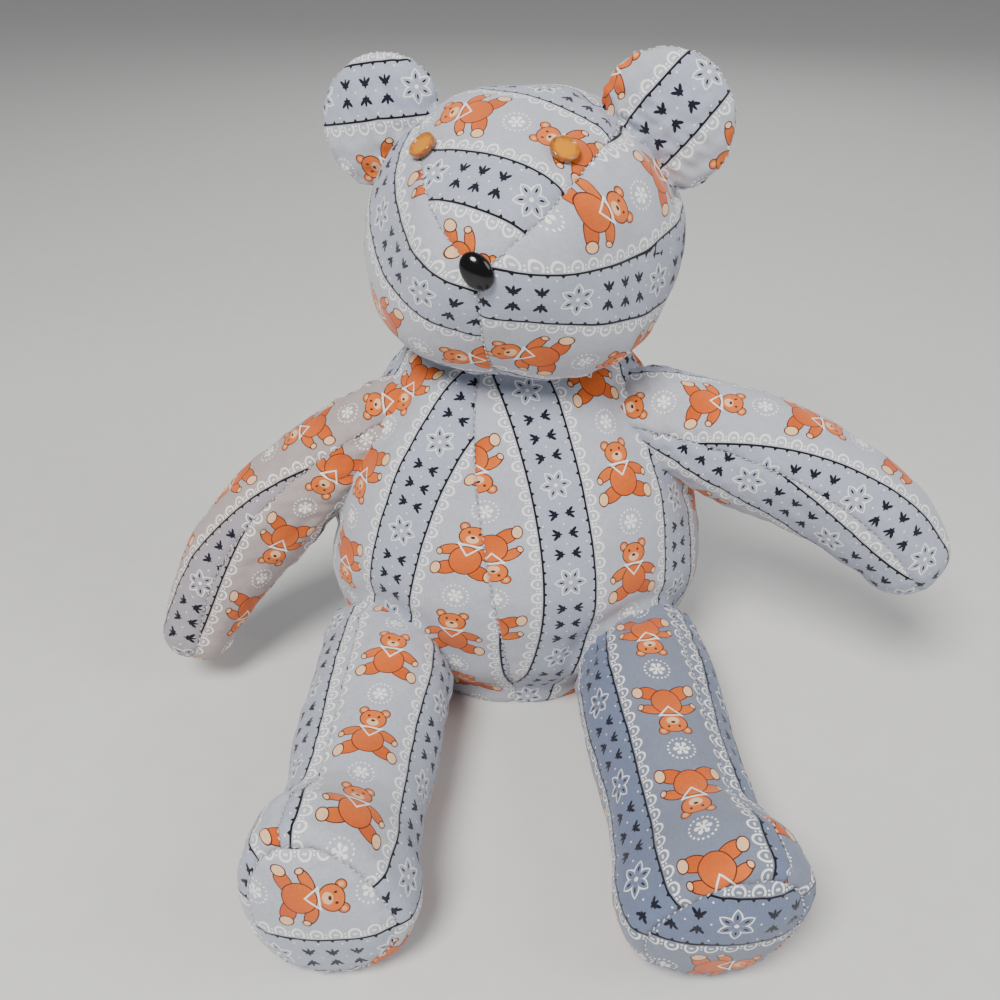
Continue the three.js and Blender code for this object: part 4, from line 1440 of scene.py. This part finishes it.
@dataclass
class Bear:
    """The whole bear: its forms, its cotton pieces, its filling, its buttons and its seams."""

    body: BodyForm = field(default_factory=BodyForm)
    head: HeadForm = field(default_factory=HeadForm)
    arms: dict[str, ArmForm] = field(default_factory=lambda: {
        "left": ArmForm(1, place([46, 22, 142], [100, 10, 142], [160, -18, 132], [188, -34, 96]),
                        mm(30, 30, 29, 26, 22), math.radians(18)),
        "right": ArmForm(-1, place([-48, 24, 142], [-98, 20, 120], [-150, 4, 86], [-168, -16, 36]),
                         mm(30, 28, 26.5, 24, 20), math.radians(36)),
    })
    legs: dict[str, LegForm] = field(default_factory=lambda: {
        "left": LegForm(1, place(60, 0, 37), place(75, -199, 31), math.radians(30), 0.08),
        "right": LegForm(-1, place(-63, 0, 37), place(-76, -193, 31), math.radians(20), -0.12),
    })
    ear_centres: dict[str, Array] = field(default_factory=lambda: {
        "left": place(57, -3, 45), "right": place(-62, -3, 38)})
    tints: dict[str, Tint] = field(default_factory=lambda: {
        "arm_right": WARM, "leg_left": BLUE})
    lays: dict[str, Lay] = field(default_factory=lambda: {
        "body_front_left": Lay(Stripe.BEARS_UP, quarters=1),
        "body_front_right": Lay(Stripe.STARS_AFTER, turned=15, aside=-15, quarters=3),
        "body_back_left": Lay(Stripe.STARS),
        "body_back_right": Lay(Stripe.BEARS_UP),
        "head_gusset": Lay(Stripe.BEARS_DOWN, turned=-75, aside=5),
        "head_side_left": Lay(Stripe.STARS, turned=75, aside=5),
        "head_side_right": Lay(Stripe.BEARS_UP, turned=-45, aside=-10),
        "arm_upper_left": Lay(Stripe.BEARS_UP, turned=-15, aside=-10),
        "arm_under_left": Lay(Stripe.BEARS_DOWN, turned=15),
        "arm_upper_right": Lay(Stripe.BEARS_UP, turned=15, aside=10),
        "arm_under_right": Lay(Stripe.STARS_AFTER, turned=-15, aside=10),
        "leg_inner_left": Lay(Stripe.STARS),
        "leg_outer_left": Lay(Stripe.BEARS_UP),
        "leg_inner_right": Lay(Stripe.STARS),
        "leg_outer_right": Lay(Stripe.BEARS_DOWN),
        "leg_sole_left": Lay(Stripe.STARS_AFTER, turned=60, aside=15),
        "leg_sole_right": Lay(Stripe.BEARS_UP, turned=105, aside=15),
        "ear_front_left": Lay(Stripe.STARS),
        "ear_front_right": Lay(Stripe.STARS, turned=-60, aside=-15),
        "ear_back_left": Lay(Stripe.BEARS_UP, turned=15),
        "ear_back_right": Lay(Stripe.BEARS_DOWN, turned=-15),
    })
    eye_up: float = math.radians(41)
    eye_out: dict[str, float] = field(default_factory=lambda: {
        "left": math.radians(22), "right": math.radians(-29)})
    pieces: dict[str, Piece] = field(default_factory=dict)
    origin: Array = field(default_factory=lambda: np.zeros(3))

    def find_origin(self) -> None:
        """Finds the middle of the seat in the row frame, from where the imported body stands."""
        middle = (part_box("body_front_left")[1].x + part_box("body_front_right")[0].x) / 2
        shell = self.body.point(np.linspace(-0.1, 1.05, 90)[:, None], np.linspace(0, TURN, 181)[None])
        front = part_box("body_front_left")[0].y - shell[..., 1].min()
        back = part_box("body_back_left")[1].y - shell[..., 1].max()
        self.origin = np.array([middle - self.body.seat[0], (front + back) / 2, 0.0])

    def ears(self) -> dict[str, EarForm]:
        """The two ears on the head."""
        return {name: EarForm(1 if name == "left" else -1, self.head, centre)
                for name, centre in self.ear_centres.items()}

    def add(self, piece: Piece) -> Piece:
        """Keeps a cotton piece."""
        self.pieces[piece.name] = piece
        return piece

    def cut(self) -> None:
        """Cuts every cotton piece."""
        sides = (Edge.FIRST_COLUMN, Edge.LAST_COLUMN)
        for quarter, name in enumerate(("front_left", "front_right", "back_right", "back_left")):
            columns = spread(73, quarter * QUARTER, (quarter + 1) * QUARTER)
            ends = np.sin(np.linspace(-QUARTER * 0.985, QUARTER * 0.985, 113))
            rows = (0.5 + ends * 0.5) * (1 + self.body.bottom_cap + self.body.top_cap) - self.body.bottom_cap
            self.add(Piece("body_" + name, self.body.panel, rows, columns, sides))
        self.cut_head(sides)
        for name, arm in self.arms.items():
            rows = np.concatenate([np.linspace(-0.2, 1, 97), 1 + np.linspace(0, 0.975, 25)[1:]])
            rows = rows[:len(rows) - (len(rows) - 1) % COARSE]
            for half, part in enumerate(("upper", "under")):
                columns = spread(65, arm.seam + half * math.pi, arm.seam + (half + 1) * math.pi)
                self.add(Piece(f"arm_{part}_{name}", arm.point, rows, columns, sides))
        for name, leg in self.legs.items():
            rows = np.linspace(0.08, 1, 105)
            for half, part in enumerate(("inner", "outer")):
                start = QUARTER + half * math.pi
                columns = spread(73, start, start + math.pi)
                self.add(Piece(f"leg_{part}_{name}", leg.point, rows, columns, (*sides, Edge.LAST_ROW)))
            rim = np.linspace(0, TURN, 145)[:-1]
            self.add(Piece("leg_sole_" + name, leg.sole, spread(29)[0:], rim, (Edge.LAST_ROW,), True))
        for name, ear in self.ears().items():
            rim = np.linspace(0, TURN, 121)[:-1]
            shares = np.sin(np.linspace(0, QUARTER, 29))
            for face, part in ((1, "front"), (-1, "back")):
                surface = lambda share, angle, e=ear, f=face: e.point(share, angle, f)
                self.add(Piece(f"ear_{part}_{name}", surface, shares, rim, (Edge.LAST_ROW,), True))

    def cut_head(self, sides: tuple[Edge, ...]) -> None:
        """Cuts the head's centre strip and its two sides."""
        head, nape = self.head, math.radians(self.head.gusset_angles[-1])
        strip = lambda up, share: head.point(up, share * head.gusset_half(up))
        rows = np.linspace(math.radians(0.5), nape, 161)
        self.add(Piece("head_gusset", strip, rows, spread(61, -1, 1), sides))
        around = np.linspace(0, TURN, 193)[:-1]

        def disc(side: int) -> Callable[[Array, Array], Array]:
            """The surface of one side, out from beside the ear to the seams."""
            def surface(share: Array, up: Array) -> Array:
                """Points of that side."""
                edge = np.where(up <= nape, head.gusset_half(np.minimum(up, nape)), 0.0)
                start = math.radians(self.head.gusset_half_widths[-1])
                close = 1 - smoothstep(nape, nape + 0.35, up)
                edge = np.where(up > nape, start * close, edge)
                nose = smoothstep(TURN - 0.12, TURN, up) * math.radians(self.head.gusset_half_widths[0])
                edge = np.where(up > nape + 0.35, nose, edge)
                return head.point(up, side * (QUARTER + (edge - QUARTER) * share))
            return surface

        for name, side in (("left", 1), ("right", -1)):
            self.add(Piece("head_side_" + name, disc(side), spread(65), around, (Edge.LAST_ROW,), True))

    def joined(self, prefix: str, clearance: Callable[[Array], Array], near: float = 1.3 * MM) -> Array:
        """Points of some pieces' plain surfaces that lie on another form's skin."""
        found = []
        for name, piece in self.pieces.items():
            if name.startswith(prefix):
                flat = piece.base.reshape(-1, 3)
                found.append(flat[np.abs(clearance(flat)) < near][::3])
        return np.concatenate(found)

    def sew(self) -> None:
        """Sews the pieces to each other, and the limbs, head and ears to where they belong."""
        for seed, piece in enumerate(self.pieces.values()):
            piece.sew(seed)
            kind = piece.name.split("_")[0]
            if kind in ("arm", "leg"):
                piece.draw_in(self.body.clearance, 12, 100 + seed)
            elif kind == "ear":
                piece.draw_in(self.head.clearance, 14, 100 + seed)
            elif kind == "head":
                piece.draw_in(self.body.clearance, 3, 100 + seed)
                piece.dent(self.joined("ear", self.head.clearance))
            else:
                piece.dent(np.concatenate([self.joined(part, self.body.clearance)
                                           for part in ("arm", "leg", "head")]))
            piece.on_floor()

    def dress(self) -> None:
        """Builds every cotton piece with its cloth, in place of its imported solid."""
        cloths = {tint.name: Cotton(tint).material() for tint in (GREY, WARM, BLUE)}
        for name, piece in self.pieces.items():
            parts = name.split("_")
            tint = self.tints.get(f"{parts[0]}_{parts[-1]}", GREY)
            made = piece.mesh(self.lays.get(name, Lay()), self.origin)
            made.data.materials.append(cloths[tint.name])
            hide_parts(name)
            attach(made, "root")
            LOG.info("sewed %s", name)

    def fill(self) -> None:
        """Builds the stuffing of every form."""
        fibre, round_, core = Fibre().material(), np.linspace(0, TURN, 65)[:-1][None], Core()
        ends = np.linspace(-QUARTER, QUARTER, 49)[1:-1]
        body_rows = (np.sin(ends) * 0.5 + 0.5) * (1 + self.body.bottom_cap + self.body.top_cap)
        forms = {
            "body_stuffing": self.body.point((body_rows - self.body.bottom_cap)[:, None], round_),
            "head_stuffing": self.head.point(round_, ends[:, None]),
        }
        for name, arm in self.arms.items():
            rows = np.concatenate([np.linspace(0.3, 1, 29), 1 + np.linspace(0, 0.98, 12)[1:]])
            forms["arm_stuffing_" + name] = arm.point(rows[:, None], round_)
        for name, leg in self.legs.items():
            sides = leg.point(np.linspace(0.34, 0.99, 31)[:, None], round_)
            end = leg.sole(np.linspace(0.95, 0.05, 9)[:, None], round_)
            forms["leg_stuffing_" + name] = np.concatenate([sides, end])
        for name, ear in self.ears().items():
            shares = np.sin(np.linspace(0.08, QUARTER * 0.94, 12))
            front, back = (ear.point(shares[:, None], round_, face) for face in (1, -1))
            forms["ear_wadding_" + name] = np.concatenate([front, back[::-1]])
        for name, rings in forms.items():
            made = core.build(name + "_fibre", rings, self.origin)
            made.data.materials.append(fibre)
            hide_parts(name)
            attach(made, "root")
        LOG.info("filled %d forms", len(forms))

    def fasten(self) -> None:
        """Fixes the eyes and the nose, and dresses the hidden thread loops and washer."""
        shift = Matrix.Translation(Vector(self.origin))
        amber = Amber().material()
        for name, out in self.eye_out.items():
            seat = shift @ self.head.button_place(self.eye_up, out)
            eye = Eye().build(f"eye_{name}_button", seat)
            eye.data.materials.append(amber)
            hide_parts("eye_" + name)
            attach(eye, "root")
            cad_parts["eye_thread_" + name].data.materials.clear()
            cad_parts["eye_thread_" + name].data.materials.append(
                Thread("eye_thread_" + name, linear(226, 226, 226)).material())
        nose = Nose().build("nose_button", shift @ self.head.button_place(0.0, 0.0))
        nose.data.materials.append(Gloss("black_plastic", linear(5, 5, 7), 0.08).material())
        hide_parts("nose")
        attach(nose, "root")
        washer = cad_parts["nose_washer"]
        washer.data.materials.clear()
        washer.data.materials.append(Gloss("white_plastic", linear(220, 220, 214), 0.4).material())
        LOG.info("fixed the eyes and the nose")

    def seam(self, name: str, edge: Edge, keep: Callable[[Array], Array]) -> tuple[Array, Array]:
        """A piece's edge after sewing, and the normals along it, where keep says it shows."""
        piece = self.pieces[name]
        take = {Edge.FIRST_ROW: np.s_[0], Edge.LAST_ROW: np.s_[-1],
                Edge.FIRST_COLUMN: np.s_[:, 0], Edge.LAST_COLUMN: np.s_[:, -1]}[edge]
        shown = keep(piece.base[take])
        return piece.skin[take][shown], piece.normals[take][shown]

    def stitch(self) -> None:
        """Stitches every seam that shows."""
        off_body = lambda points: self.body.clearance(points) > 2 * MM
        off_head = lambda points: self.head.clearance(points) > 2 * MM
        groups: dict[str, Stitches] = {name: Stitches() for name in ("body", "head", "arms", "legs", "ears")}
        for part in ("front_left", "front_right", "back_left", "back_right"):
            groups["body"].along(*self.seam("body_" + part, Edge.FIRST_COLUMN, off_head))
        for edge in (Edge.FIRST_COLUMN, Edge.LAST_COLUMN):
            groups["head"].along(*self.seam("head_gusset", edge, off_body))
            for name in ("left", "right"):
                groups["arms"].along(*self.seam("arm_upper_" + name, edge, off_body))
                groups["legs"].along(*self.seam("leg_inner_" + name, edge, off_body))
        piece = self.pieces["head_side_left"]
        chin = (piece.columns > math.radians(self.head.gusset_angles[-1])) & off_body(piece.base[-1])
        groups["head"].along(piece.skin[-1][chin], piece.normals[-1][chin])
        for name in ("left", "right"):
            groups["legs"].along(*self.seam("leg_sole_" + name, Edge.LAST_ROW, off_body))
            groups["ears"].along(*self.seam("ear_front_" + name, Edge.LAST_ROW, off_head))
        thread = Thread("seam_thread", linear(214, 214, 218)).material()
        for name, group in groups.items():
            made = group.build("stitches_" + name, self.origin)
            made.data.materials.append(thread)
            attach(made, "root")
        LOG.info("stitched the seams")


# ------------------------------------------------------------------ floor, light and camera


@dataclass
class Studio:
    """A plain pale floor in soft light, seen from in front and above."""

    camera_at: Array = field(default_factory=lambda: place(-8, -430, 385))
    pitch: float = math.radians(33)
    lens: float = 36.0
    floor_half: float = 8.0

    def floor(self) -> None:
        """Lays the floor."""
        half = self.floor_half
        corners = np.array([[-half, -half, 0], [half, -half, 0], [half, half, 0], [-half, half, 0]])
        floor = solid("floor", corners, [[0, 1, 2, 3]], np.zeros(3))
        shader = Shader("pale_floor")
        spot = shader.node("ShaderNodeTexCoord", {}, [], 3)
        grain = shader.noise(spot, 60.0, 6.0)
        shader.set(Base_Color=shader.mix(grain, linear(214, 214, 212), linear(222, 223, 222)),
                   Roughness=grain * 0.1 + 0.5)
        floor.data.materials.append(shader.material)

    def lamp(self, name: str, at: tuple[float, float, float], size: float, power: float, warm: float) -> None:
        """Hangs one soft lamp that faces the bear."""
        data = bpy.data.lights.new(name, "AREA")
        data.shape, data.size, data.energy = "DISK", size, power
        data.color = (1.0, 1.0 - 0.04 * warm, 1.0 - 0.09 * warm)
        lamp = bpy.data.objects.new(name, data)
        lamp.location = at
        lamp.rotation_euler = (Vector((0, 0, 0.12)) - Vector(at)).to_track_quat("-Z", "Y").to_euler()
        bpy.context.scene.collection.objects.link(lamp)

    def light(self) -> None:
        """Lights the studio."""
        self.lamp("window", (-0.5, -0.95, 1.6), 0.7, 42.0, 0.6)
        self.lamp("side", (1.3, -0.4, 1.2), 0.9, 9.0, 0.2)
        self.lamp("behind", (0.3, 1.5, 1.2), 1.2, 7.0, 0.0)
        world = bpy.data.worlds.new("room")
        world.use_nodes = True
        world.node_tree.nodes["Background"].inputs[0].default_value = (0.90, 0.90, 0.92, 1)
        world.node_tree.nodes["Background"].inputs[1].default_value = 0.27
        bpy.context.scene.world = world

    def camera(self, origin: Array) -> None:
        """Sets the camera."""
        data = bpy.data.cameras.new("camera")
        data.lens = self.lens
        camera = bpy.data.objects.new("camera", data)
        camera.location = Vector(self.camera_at + origin)
        camera.rotation_euler = (QUARTER - self.pitch, 0, 0)
        bpy.context.scene.collection.objects.link(camera)
        bpy.context.scene.camera = camera


def main() -> None:
    """Builds the bear and its studio."""
    logging.basicConfig(level=logging.INFO, format="%(message)s")
    bear = Bear()
    bear.find_origin()
    LOG.info("the seat's middle is at %s", bear.origin.round(4))
    bear.cut()
    bear.sew()
    bear.dress()
    bear.fill()
    bear.fasten()
    bear.stitch()
    studio = Studio()
    studio.floor()
    studio.light()
    studio.camera(bear.origin)


if __name__ == "__main__":
    main()
